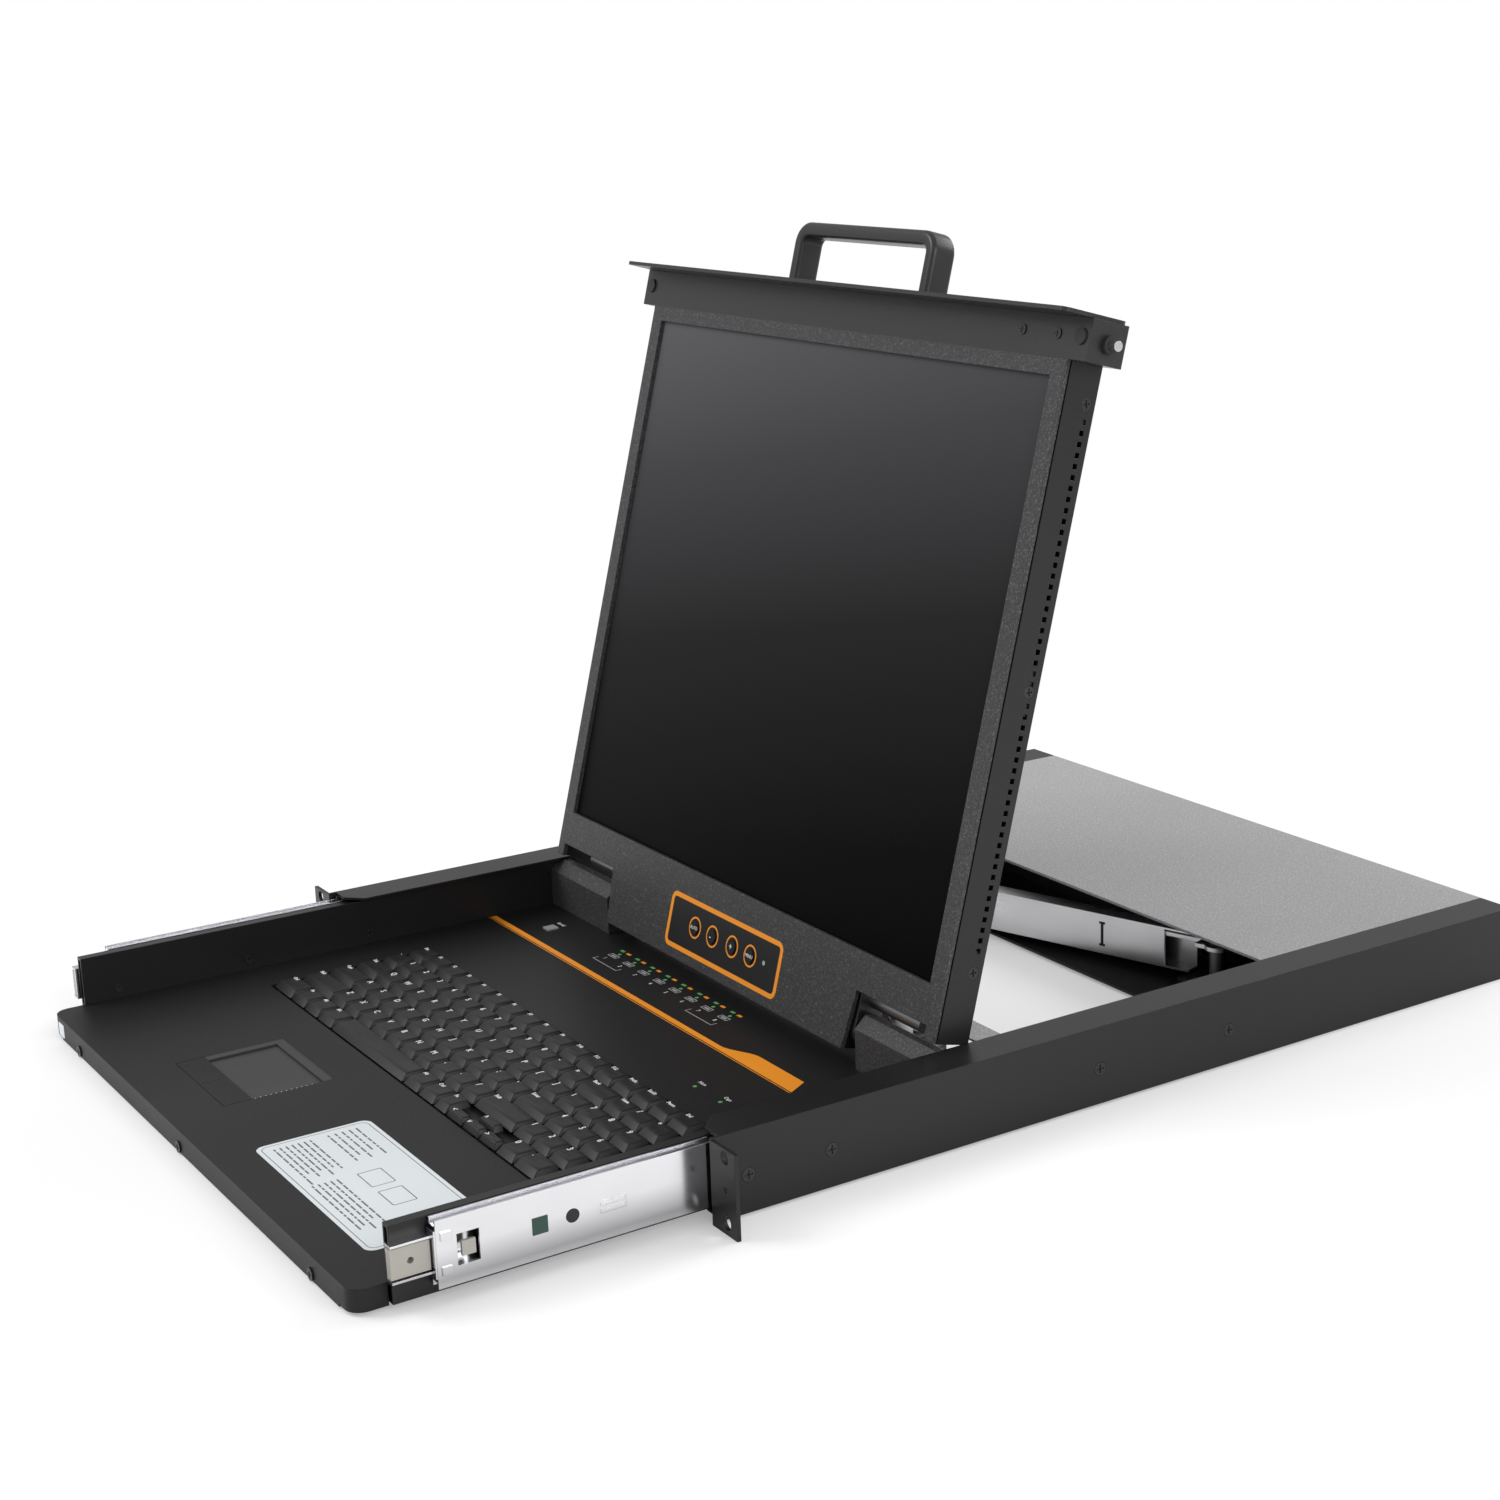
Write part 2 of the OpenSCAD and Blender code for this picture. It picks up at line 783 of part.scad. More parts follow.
module middle_slide() {
  y0 = -mid_out;
  y1 = mid_len - mid_out;
  web = in_x - mid_web;
  near = in_x - groove_near;
  far = near - groove_w;
  color([0.82, 0.83, 0.85])
    difference() {
      union() {
        slab([web - slide_t, web], [y0, y1], [slide_z - mid_half, slide_z + mid_half]);
        slide_strips(near, web - slide_t, groove_in, mid_half, y0, y1);
        slide_strips(far - slide_t, near, groove_in, groove_half, y0, y1);
        slide_strips(far - slide_t, far, groove_half, mid_half, y0, y1);
      }
      slab(
        [web - slide_t - over, web + over],
        [-window_out, window_l - window_out],
        [slide_z - window_h / 2, slide_z + window_h / 2]
      );
      for (out = slide_holes_out)
        rod_x(web - slide_t - over, web + over, -out, slide_z, slide_hole_d);
    }
}

module middle_slides() {
  both_sides()
    middle_slide();
}

module inner_slide() {
  y1 = inner_len - inner_out;
  color([0.75, 0.76, 0.78]) {
    slab(
      [wall_x, wall_x + slide_t],
      [-inner_out, y1],
      [slide_z - inner_half, slide_z + inner_half]
    );
    slide_strips(
      wall_x + slide_t, ball_x + slide_t, inner_half - slide_t, inner_half, -inner_out, y1
    );
  }
}

module inner_slides() {
  both_sides()
    inner_slide();
}

module slide_bumpers() {
  x = wall_x + slide_t;
  color([0.9, 0.9, 0.86])
    both_sides()
      difference() {
        slab(
          [x, x + bumper_w],
          [-inner_out, bumper_len - inner_out],
          [slide_z - bumper_h / 2, slide_z + bumper_h / 2]
        );
        rod_x(
          x - over, x + bumper_w + over, bumper_len / 2 - inner_out, slide_z, bumper_hole
        );
      }
}

// Two strips with loose balls, at one distance above and below the slide line
module ball_cage(half, y0) {
  pitch = cage_len / cage_balls;
  both_sides()
    for (side = [-1, 1]) {
      z = slide_z + side * half;
      difference() {
        slab(
          [ball_x - cage_w / 2, ball_x + cage_w / 2],
          [y0, y0 + cage_len],
          [z - cage_t / 2, z + cage_t / 2]
        );
        for (i = [0 : cage_balls - 1])
          rod_z(
            z - cage_t, z + cage_t, ball_x, y0 + (i + 0.5) * pitch,
            ball_d + 2 * fit
          );
      }
      for (i = [0 : cage_balls - 1])
        translate([ball_x, y0 + (i + 0.5) * pitch, z])
          sphere(d = ball_d);
    }
}

module ball_cages_outer() {
  color([0.6, 0.5, 0.25])
    ball_cage((fixed_in + groove_half) / 2, cage_outer_y);
}

module ball_cages_inner() {
  color([0.6, 0.5, 0.25])
    ball_cage((groove_in + inner_half) / 2, -cage_inner_y);
}

// Drawer

module deck_tray() {
  front_lip();
  color([0.09, 0.09, 0.1])
    difference() {
      translate([0, 0, under_z])
        linear_extrude(deck_t)
          difference() {
            union() {
              translate([-deck_w / 2, -lip_out])
                round_rect(deck_w, lip_out - wall_out + 2 * corner_r, corner_r);
              translate([-skin_x, -wall_out])
                square([2 * skin_x, wall_out + axis_y + deck_end]);
            }
            translate([-kb_left, -kb_out])
              square([kb_w, kb_d]);
            translate([-pad_left, -pad_out])
              square([pad_w, pad_d]);
            translate([bank_x - bank_w / 2 - slip, bank_y - bank_w / 2 - slip])
              square(bank_w + 2 * slip);
          }
      for (i = [0 : light_count - 1])
        rod_z(under_z - over, deck_z + over, light_x + i * light_pitch, light_y, light_d + 2 * fit);
      for (i = [0 : lock_count - 1])
        rod_z(
          under_z - over, deck_z + over, lock_light_x + i * lock_pitch, lock_light_y,
          light_d + 2 * fit
        );
    }
}

module front_lip() {
  half = deck_w / 2 - corner_len;
  color([0.09, 0.09, 0.1])
    difference() {
      slab([-half, half], [-lip_out, deck_t - lip_out], [-lip_low, under_z]);
      for (x = deck_w * lip_screw_shares)
        rod_y(-lip_out - over, deck_t - lip_out + over, x, -lip_screw_drop, lip_screw_d / 2);
    }
}

module front_corner() {
  x0 = deck_w / 2 - corner_len;
  color([0.06, 0.06, 0.065]) {
    intersection() {
      translate([x0, -lip_out, -lip_low + foot_h])
        linear_extrude(under_z + lip_low - foot_h)
          difference() {
            translate([-corner_len, 0])
              round_rect(2 * corner_len, 2 * corner_len, corner_r);
            translate([-corner_len - over, -over])
              square([corner_len + over, 2 * corner_len + 2 * over]);
          }
      slab([x0, deck_w / 2], [-lip_out, -wall_out - slip], [-lip_low, under_z]);
    }
    rod_z(-lip_low, foot_h - lip_low, x0 + corner_len / 2, -(lip_out + wall_out) / 2, foot_d);
  }
}

module front_corners() {
  both_sides()
    front_corner();
}

module drawer_wall() {
  y0 = -wall_out;
  color([0.08, 0.08, 0.09]) {
    slab([skin_x, wall_x], [y0, drawer_back], [-drawer_low, wall_top]);
    slab([wall_in, skin_x], [y0, drawer_back], [wall_top - wall_hem, wall_top]);
    slab([wall_in, wall_in + wall_hem], [y0, axis_y + deck_end], [deck_z, wall_top - wall_hem]);
  }
}

module drawer_walls() {
  both_sides()
    drawer_wall();
}

module drawer_floor() {
  half = deck_w / 2 - corner_len - slip;
  color([0.07, 0.07, 0.075]) {
    slab([-skin_x, skin_x], [-wall_out, drawer_back], [-drawer_low, floor_t - drawer_low]);
    slab([-half, half], [deck_t - lip_out, -wall_out], [-drawer_low, floor_t - drawer_low]);
  }
}

module drawer_screws() {
  color([0.35, 0.35, 0.36]) {
    for (x = deck_w * lip_screw_shares) {
      rod_y(-lip_out - lip_screw_head, -lip_out, x, -lip_screw_drop, lip_screw_d);
      rod_y(-lip_out, deck_t - lip_out, x, -lip_screw_drop, lip_screw_d / 2 - 2 * fit);
    }
    both_sides()
      for (out = wall_screw_out)
        rod_x(wall_in - wall_screw_head, wall_in, -out, wall_screw_z, wall_screw_d);
  }
}

module drawer_rear_cover() {
  half = wall_in - slip;
  color([0.12, 0.12, 0.13]) {
    slab([-half, half], [beam_y, drawer_back], [beam_z - deck_t, beam_z]);
    slab([-half, half], [drawer_back - deck_t, drawer_back], [beam_z - beam_down, beam_z - deck_t]);
  }
}

module hinge_block() {
  color([0.07, 0.07, 0.08])
    difference() {
      along_x(hinge_in_x, wall_in)
        polygon([
          [axis_y - block_front, deck_z],
          [axis_y - block_front, axis_z + block_rise],
          [axis_y - block_top_fwd, axis_z + block_top],
          [axis_y + block_top_back, axis_z + block_top],
          [axis_y + block_back, axis_z + block_back_rise],
          [axis_y + block_back, deck_z]
        ]);
      rod_x(hinge_in_x - over, pin_end, axis_y, axis_z, pin_d + 2 * fit);
    }
}

module hinge_blocks() {
  both_sides()
    hinge_block();
}

module hinge_pins() {
  color([0.7, 0.7, 0.72])
    both_sides()
      rod_x(skirt_w / 2 + arm_gap, pin_end, axis_y, axis_z, pin_d);
}

// Keyboard

kb_x0 = kb_edge - kb_left;
keys_w = kb_w - 2 * kb_edge;
kb_y0 = kb_edge - kb_out;
last_row = len(row_shares) - 1;
key_z = deck_z + key_proud;

function key_x(r, i) =
  kb_x0 + keys_w * total(row_shares[r], i) / total(row_shares[r], len(row_shares[r]));
function row_y(r) = kb_y0 + r * row_pitch;
function row_d(r) = r < last_row ? row_pitch : kb_d - 2 * kb_edge - last_row * row_pitch;
function is_arrow(r, i) = r == 0 && i >= first_arrow && i <= last_arrow;
function is_space(r, i) = r == 0 && i == space_key;

// One cap with sloped sides over a cell, standing on its stems
module keycap(x0, x1, y0, y1, stems = 1) {
  w = x1 - x0 - key_gap;
  d = y1 - y0 - key_gap;
  slope = key_side_share * row_pitch;
  translate([x0 + key_gap / 2, y0 + key_gap / 2, key_z - key_h])
    intersection() {
      along_y(0, d)
        polygon([[0, 0], [w, 0], [w - slope, key_h], [slope, key_h]]);
      along_x(0, w)
        polygon([
          [0, 0], [d, 0], [d - key_back_share * d, key_h], [key_front_share * d, key_h]
        ]);
    }
  for (i = [0 : stems - 1])
    rod_z(
      kb_bottom + stem_tail + key_travel, key_z - key_h,
      x0 + (x1 - x0) * (i + 0.5) / stems, (y0 + y1) / 2, stem_d
    );
}

kb_bottom = under_z - kb_base_h;

module keyboard_base() {
  color([0.05, 0.05, 0.055])
    difference() {
      slab(
        [-kb_left - kb_flange, kb_w - kb_left + kb_flange],
        [-kb_out - kb_flange, kb_d - kb_out + kb_flange],
        [kb_bottom, under_z]
      );
      slab(
        [-kb_left, kb_w - kb_left],
        [-kb_out, kb_d - kb_out],
        [kb_bottom + kb_floor, under_z + over]
      );
      for (r = [0 : last_row], i = [0 : len(row_shares[r]) - 1])
        if (!is_space(r, i) && !is_arrow(r, i))
          rod_z(
            kb_bottom - over, under_z + over,
            (key_x(r, i) + key_x(r, i + 1)) / 2, row_y(r) + row_d(r) / 2,
            stem_d + 2 * stem_clear
          );
      for (side = [0, 1])
        rod_z(
          kb_bottom - over, under_z + over,
          key_x(0, space_key)
            + (key_x(0, space_key + 1) - key_x(0, space_key)) * (side + 0.5) / 2,
          row_y(0) + row_d(0) / 2, stem_d + 2 * stem_clear
        );
      for (i = [first_arrow : last_arrow])
        rod_z(
          kb_bottom - over, under_z + over,
          (key_x(0, i) + key_x(0, i + 1)) / 2, row_y(0) + row_d(0) / 4,
          stem_d + 2 * stem_clear
        );
      rod_z(
        kb_bottom - over, under_z + over,
        (key_x(0, first_arrow + 1) + key_x(0, first_arrow + 2)) / 2,
        row_y(0) + row_d(0) * 3 / 4, stem_d + 2 * stem_clear
      );
    }
}

module key_row(r) {
  color([0.11, 0.11, 0.12])
    for (i = [0 : len(row_shares[r]) - 1])
      if (!is_space(r, i) && !is_arrow(r, i))
        keycap(key_x(r, i), key_x(r, i + 1), row_y(r), row_y(r) + row_d(r));
}

module key_row_1() {
  key_row(0);
  arrow_keys();
}

module key_row_2() {
  key_row(1);
}

module key_row_3() {
  key_row(2);
}

module key_row_4() {
  key_row(3);
}

module key_row_5() {
  key_row(4);
}

module key_row_6() {
  key_row(5);
}

module space_bar() {
  color([0.11, 0.11, 0.12])
    keycap(key_x(0, space_key), key_x(0, space_key + 1), row_y(0), row_y(0) + row_d(0), 2);
}

module arrow_keys() {
  half = row_d(0) / 2;
  color([0.11, 0.11, 0.12]) {
    for (i = [first_arrow : last_arrow])
      keycap(key_x(0, i), key_x(0, i + 1), row_y(0), row_y(0) + half);
    keycap(
      key_x(0, first_arrow + 1), key_x(0, first_arrow + 2), row_y(0) + half, row_y(0) + 2 * half
    );
  }
}

// Touchpad

pad_x0 = -pad_left + pad_gap;
pad_x1 = pad_w - pad_left - pad_gap;
pad_y0 = -pad_out + pad_gap;
pad_y1 = pad_d - pad_out - pad_gap;
pad_seam = pad_y0 + pad_button_d;

module touchpad_frame() {
  color([0.08, 0.08, 0.09])
    difference() {
      slab([pad_x0, pad_x1], [pad_y0, pad_y1], [deck_z - pad_frame_h, deck_z]);
      slab([pad_x0 - over, pad_x1 + over], [pad_y0 - over, pad_seam], [
        deck_z - pad_button_t - pad_travel - pad_gap, deck_z + over
      ]);
      slab([pad_x0 + pad_wall, pad_x1 + over], [pad_seam - over, pad_y1 - pad_wall], [
        deck_z - pad_sink - pad_board_t, deck_z + over
      ]);
    }
}

module pad_surface() {
  color([0.3, 0.3, 0.31])
    slab([pad_x0 + pad_wall, pad_x1], [pad_seam, pad_y1 - pad_wall], [
      deck_z - pad_sink - pad_board_t, deck_z - pad_sink
    ]);
}

module touchpad() {
  touchpad_frame();
  pad_surface();
}

module touch_button(i) {
  w = (pad_x1 - pad_x0) / 2;
  color([0.09, 0.09, 0.1])
    slab(
      [pad_x0 + i * w + pad_gap / 2, pad_x0 + (i + 1) * w - pad_gap / 2],
      [pad_y0, pad_seam - pad_gap],
      [deck_z - pad_button_t, deck_z]
    );
}

module touch_button_left() {
  touch_button(0);
}

module touch_button_right() {
  touch_button(1);
}

// Lights, button and plate on the deck

module indicator_board() {
  z = under_z - light_body;
  x1 = light_x + (light_count - 1) * light_pitch + light_margin;
  lock_end = lock_light_x + (lock_count - 1) * lock_pitch + light_margin;
  color([0.05, 0.3, 0.15]) {
    slab(
      [bank_x - light_margin, x1],
      [bank_y - light_margin, light_y + light_margin],
      [z - light_board_t, z]
    );
    slab(
      [lock_light_x - light_margin, lock_end],
      [lock_light_y - light_margin, lock_light_y + light_margin],
      [z - light_board_t, z]
    );
    for (x = [bank_x, x1 - light_margin / 2])
      rod_z(-drawer_low + floor_t, z - light_board_t, x, light_y, stand_d / 2);
    for (x = [lock_light_x, lock_end - light_margin / 2])
      rod_z(-drawer_low + floor_t, z - light_board_t, x, lock_light_y, stand_d / 2);
    deck_lights();
  }
}

module deck_lights() {
  color([0.5, 0.9, 0.4]) {
    for (i = [0 : light_count - 1])
      rod_z(under_z - light_body, deck_z, light_x + i * light_pitch, light_y, light_d);
    for (i = [0 : lock_count - 1])
      rod_z(under_z - light_body, deck_z, lock_light_x + i * lock_pitch, lock_light_y, light_d);
  }
}

module bank_button() {
  color([0.15, 0.15, 0.16])
    slab(
      [bank_x - bank_w / 2, bank_x + bank_w / 2],
      [bank_y - bank_w / 2, bank_y + bank_w / 2],
      [under_z - light_body + bank_travel + fit, deck_z + bank_proud]
    );
}

// Display, drawn with X across, Y back from its front face and Z up from the screen bottom

module display() {
  translate([0, axis_y, axis_z])
    rotate([-lcd_tilt, 0, 0])
      translate([0, -axis_depth, axis_drop])
        children();
}

// Outline of the housing, drawn in by an inset
module housing_outline(half, inset, slant) {
  s = skirt_w / 2 - inset;
  cut = half - tongue_w + inset;
  polygon([
    [-half + inset, lcd_h - inset],
    [-half + inset, inset - tongue_drop],
    [-cut, inset - tongue_drop],
    [-cut, inset - cut_drop],
    [-s - slant, inset - cut_drop],
    [-s, inset - skirt_drop],
    [s, inset - skirt_drop],
    [s + slant, inset - cut_drop],
    [cut, inset - cut_drop],
    [cut, inset - tongue_drop],
    [half - inset, inset - tongue_drop],
    [half - inset, lcd_h - inset]
  ]);
}

module lcd_bezel() {
  half = lcd_w / 2 - seam;
  color([0.08, 0.08, 0.09])
    display()
      difference() {
        union() {
          along_y(0, bezel_t)
            housing_outline(half, 0, skirt_slant);
          both_sides()
            for (z = lcd_screw_z)
              slab(
                [lcd_w / 2 - shell_t - fit - tab_t, lcd_w / 2 - shell_t - fit],
                [bezel_t, lcd_screw_depth + lcd_screw_d / 2],
                [max(z - tab_h / 2, vent_size), z + tab_h / 2 - tab_t]
              );
        }
        slab([-screen_w / 2, screen_w / 2], [-over, bezel_t + over], [0, screen_h]);
        for (x = osd_button_x)
          rod_y(-over, bezel_t + over, x, -osd_button_drop, osd_button_d + 2 * fit);
        rod_y(-over, bezel_t + over, led_x, -osd_button_drop, led_d + 2 * fit);
        both_sides()
          for (z = lcd_screw_z)
            rod_x(
              lcd_w / 2 - shell_t - tab_t - over, lcd_w / 2, lcd_screw_depth, z, lcd_screw_shank
            );
      }
}

module screen_glass() {
  color([0.16, 0.17, 0.19])
    display()
      slab(
        [-screen_w / 2 - glass_lap, screen_w / 2 + glass_lap],
        [bezel_t, bezel_t + glass_t],
        [-glass_lap, screen_h + glass_lap]
      );
}

module display_panel() {
  color([0.6, 0.6, 0.62])
    display()
      slab(
        [-screen_w / 2 - panel_lap, screen_w / 2 + panel_lap],
        [bezel_t + glass_t, bezel_t + glass_t + panel_t],
        [-panel_lap, screen_h + panel_lap]
      );
}

board_y = lcd_d - shell_t - lcd_board_gap;

module driver_board() {
  color([0.05, 0.3, 0.15])
    display()
      slab(
        [-lcd_board_w / 2, lcd_board_w / 2],
        [board_y - board_t, board_y],
        [lcd_board_z, lcd_board_z + lcd_board_h]
      );
}

module lcd_back_shell() {
  half = lcd_w / 2;
  pitch = (vent_last - vent_first) / (vent_count - 1);
  color([0.07, 0.07, 0.08])
    display()
      difference() {
        union() {
          difference() {
            along_y(bezel_t + seam, lcd_d)
              housing_outline(half, 0, 0);
            along_y(bezel_t + seam - over, lcd_d - shell_t)
              housing_outline(half, shell_t, 0);
          }
          for (x = [stand_in - lcd_board_w / 2, lcd_board_w / 2 - stand_in])
            for (z = [lcd_board_z + stand_in, lcd_board_z + lcd_board_h - stand_in])
              rod_y(board_y, lcd_d - shell_t, x, z, boss_d);
        }
        for (side = [-1, 1], i = [0 : vent_count - 1])
          slab(
            [side * (half - shell_t / 2) - shell_t, side * (half - shell_t / 2) + shell_t],
            [vent_depth - vent_size / 2, vent_depth + vent_size / 2],
            [vent_first + i * pitch - vent_size / 2, vent_first + i * pitch + vent_size / 2]
          );
        both_sides()
          for (z = lcd_screw_z)
            rod_x(half - shell_t - over, half + over, lcd_screw_depth, z, lcd_screw_d + 2 * fit);
      }
}

module display_screws() {
  lcd_side_screws();
  cap_screws();
}

module lcd_side_screws() {
  color([0.2, 0.2, 0.21])
    display()
      both_sides()
        for (z = lcd_screw_z) {
          rod_x(lcd_w / 2 - shell_t, lcd_w / 2, lcd_screw_depth, z, lcd_screw_d);
          rod_x(
            lcd_w / 2 - shell_t - tab_t, lcd_w / 2 - shell_t, lcd_screw_depth, z,
            lcd_screw_shank - 2 * fit
          );
        }
}

// A plate beside the skirt that turns on the hinge pin, with the steel barrel above it
module hinge_arm() {
  x0 = skirt_w / 2 + arm_gap;
  low = -axis_drop;
  color([0.6, 0.61, 0.63])
    display()
      difference() {
        union() {
          rod_x(x0, x0 + arm_plate_t, axis_depth, low, 2 * arm_r);
          slab(
            [x0, x0 + arm_plate_t],
            [axis_depth - arm_r, axis_depth + arm_r],
            [low, -cut_drop - fit]
          );
          slab(
            [x0 - arm_gap, x0],
            [axis_depth - arm_r, axis_depth + arm_r],
            [-barrel_drop - barrel_d / 2, -cut_drop - fit]
          );
          rod_x(x0, barrel_end, barrel_depth, -barrel_drop, barrel_d);
        }
        rod_x(x0 - over, x0 + arm_plate_t + over, axis_depth, low, pin_d + 2 * fit);
      }
}

module hinge_arms() {
  both_sides()
    hinge_arm();
}

module osd_button(i) {
  color([0.16, 0.16, 0.17])
    display()
      rod_y(
        -osd_button_proud, osd_button_in, osd_button_x[i], -osd_button_drop, osd_button_d
      );
}

module osd_button_1() {
  osd_button(0);
}

module osd_button_2() {
  osd_button(1);
}

module osd_button_3() {
  osd_button(2);
}

module osd_button_4() {
  osd_button(3);
}

module osd_board() {
  y0 = osd_board_depth;
  color([0.05, 0.3, 0.15])
    display() {
      slab([-osd_w / 2, osd_w / 2], [y0, y0 + board_t], [-osd_drop - osd_h, -osd_drop]);
      for (x = [boss_d - osd_w / 2, osd_w / 2 - boss_d])
        rod_y(bezel_t, y0, x, -osd_drop - boss_d, boss_d);
      rod_y(0, y0, led_x, -osd_button_drop, led_d);
    }
}

module top_cap() {
  half = cap_w / 2;
  top = lcd_h + cap_h;
  color([0.07, 0.07, 0.08])
    display()
      difference() {
        union() {
          difference() {
            slab([-half, half], [0, lcd_d], [lcd_h, top]);
            slab([cap_t - half, half - cap_t], [cap_t, lcd_d - cap_t], [lcd_h + cap_t, top + over]);
          }
          both_sides()
            slab(
              [latch_guide_x, latch_guide_x + cap_t],
              [cap_t - fit, lcd_d - cap_t + fit],
              [lcd_h + cap_t - fit, top]
            );
        }
        both_sides() {
          rod_x(
            latch_guide_x - over, half + over, latch_depth, lcd_h + latch_rise, latch_d + 2 * fit
          );
        }
        for (x = cap_screw_x)
          rod_y(-over, cap_t + over, x, lcd_h + cap_mark, cap_screw_d / 2);
      }
}

module cap_screws() {
  z = lcd_h + cap_mark;
  color([0.3, 0.3, 0.31])
    display()
      for (x = cap_screw_x) {
        rod_y(-cap_screw_head, 0, x, z, cap_screw_d);
        rod_y(0, cap_screw_len, x, z, cap_screw_d / 2 - 2 * fit);
      }
}

module cap_bumpers() {
  latch_collars();
  color([0.03, 0.03, 0.03])
    display()
      both_sides()
        rod_y(-disc_t, 0, bumper_x, lcd_h + cap_mark, disc_d);
}

module front_plate() {
  z = lcd_h + cap_h;
  color([0.08, 0.08, 0.09])
    display()
      translate([-plate_w / 2, -plate_over, z])
        linear_extrude(plate_t)
          round_rect(plate_w, plate_over + lcd_d + seam, plate_r);
}

// A bowed bar with two quarter-round corners
module handle() {
  z0 = lcd_h + cap_h + plate_t;
  r = handle_r;
  half = handle_w / 2;
  y = [handle_depth - bar_d / 2, handle_depth + bar_d / 2];
  color([0.06, 0.06, 0.065])
    display() {
      slab([r - half, half - r], y, [z0 + handle_h - bar_h, z0 + handle_h]);
      both_sides() {
        slab([half - bar_h, half], y, [z0, z0 + handle_h - r]);
        intersection() {
          difference() {
            rod_y(y[0], y[1], half - r, z0 + handle_h - r, 2 * r);
            rod_y(y[0] - over, y[1] + over, half - r, z0 + handle_h - r, 2 * (r - bar_h));
          }
          slab([half - r, half], y, [z0 + handle_h - r, z0 + handle_h]);
        }
      }
    }
}

module latch_pin() {
  z = lcd_h + latch_rise;
  color([0.8, 0.81, 0.83])
    display() {
      rod_x(latch_in, latch_tip, latch_depth, z, latch_d);
      rod_x(latch_stop_x, latch_stop_x + latch_stop_w, latch_depth, z, latch_stop_d);
    }
}

module latch_pin_left() {
  on_side(-1)
    latch_pin();
}

module latch_pin_right() {
  on_side(1)
    latch_pin();
}

module latch_collars() {
  z = lcd_h + latch_rise;
  color([0.04, 0.04, 0.04])
    display()
      both_sides()
        difference() {
          rod_x(cap_w / 2, cap_w / 2 + collar_w, latch_depth, z, collar_d);
          rod_x(cap_w / 2 - over, cap_w / 2 + collar_w + over, latch_depth, z, latch_d + 2 * fit);
        }
}

// Cable arm, each link drawn along +X from its pivot with its body on the +Y side

elbow_x = arm_x - arm_len * sin(arm_angle);
elbow_y = arm_y - arm_len * cos(arm_angle);
front_y = arm_y - 2 * arm_len * cos(arm_angle);

// Places the rear link: from its fixed pivot towards the elbow, with its body behind the line
module rear_link() {
  translate([arm_x, arm_y, 0])
    rotate([0, 0, 270 - arm_angle])
      mirror([0, 1, 0])
        children();
}

// Places the front link: from the drawer towards the elbow, with its body in front of the line
module front_link() {
  translate([arm_x, front_y, 0])
    rotate([0, 0, 90 + arm_angle])
      children();
}

// A channel that is open towards the pivot line, with a lug at each end
module link_channel(lug_z) {
  x0 = arm_start;
  x1 = arm_len - arm_start;
  y0 = arm_offset;
  y1 = arm_offset + arm_d;
  difference() {
    union() {
      slab([x0, x1], [y1 - arm_t, y1], [arm_z, arm_z + arm_h]);
      for (z = [arm_z, arm_z + arm_h - arm_t])
        slab([x0, x1], [y0, y1 - arm_t], [z, z + arm_t]);
      for (end = [0, 1])
        translate([end * arm_len, 0, lug_z]) {
          cylinder(h = lug_t, r = lug_r);
          mirror([end, 0, 0])
            slab([0, 2 * arm_start], [y0 + arm_t, y1 - arm_t], [0, lug_t]);
          mirror([end, 0, 0])
            slab([0, arm_start - lug_r], [y0 - lug_r + arm_t, y1 - arm_t], [0, lug_t]);
        }
    }
    for (x = [0, arm_len])
      translate([x, 0, lug_z - over])
        cylinder(h = lug_t + 2 * over, d = arm_pin_d + 2 * fit);
  }
}

module link_cover() {
  slab(
    [arm_start + cover_lap, arm_len - arm_start - cover_lap],
    [arm_offset, arm_offset + arm_t],
    [arm_z + arm_t, arm_z + arm_h - arm_t]
  );
}

module arm_link_rear() {
  color([0.7, 0.71, 0.73])
    rear_link() {
      link_channel(lug_a_z);
      link_cover();
    }
  elbow_pin();
}

module arm_link_front() {
  color([0.7, 0.71, 0.73])
    front_link() {
      link_channel(lug_b_z);
      link_cover();
    }
  slot_pin();
}

module elbow_pin() {
  color([0.6, 0.6, 0.62])
    translate([elbow_x, elbow_y, 0]) {
      rod_z(lug_b_z - slip, lug_a_z + lug_t, 0, 0, arm_pin_d);
      rod_z(lug_a_z + lug_t, lug_a_z + lug_t + arm_head_t, 0, 0, arm_head);
      rod_z(lug_b_z - slip - arm_head_t, lug_b_z - slip, 0, 0, arm_head);
    }
}

// The pin in the front link that runs in the open slot of the drawer bracket
module slot_pin() {
  color([0.6, 0.6, 0.62])
    translate([arm_x, front_y, 0]) {
      rod_z(bracket_z - slip, lug_b_z + lug_t, 0, 0, arm_pin_d);
      rod_z(lug_b_z + lug_t, lug_b_z + lug_t + arm_head_t, 0, 0, arm_head);
    }
}

module arm_bracket_rear() {
  color([0.3, 0.3, 0.32]) {
    slab(
      [arm_x - foot_w / 2, arm_x + foot_w / 2],
      [arm_y - foot_w / 4, arm_y + foot_w / 2],
      [-in_low, bracket_t - in_low]
    );
    rod_z(bracket_t - in_low, lug_a_z - slip, arm_x, arm_y, post_d);
    rod_z(lug_a_z - slip, lug_a_z + lug_t + slip, arm_x, arm_y, arm_pin_d);
    rod_z(lug_a_z + lug_t + slip, lug_a_z + lug_t + slip + arm_head_t, arm_x, arm_y, arm_head);
  }
}

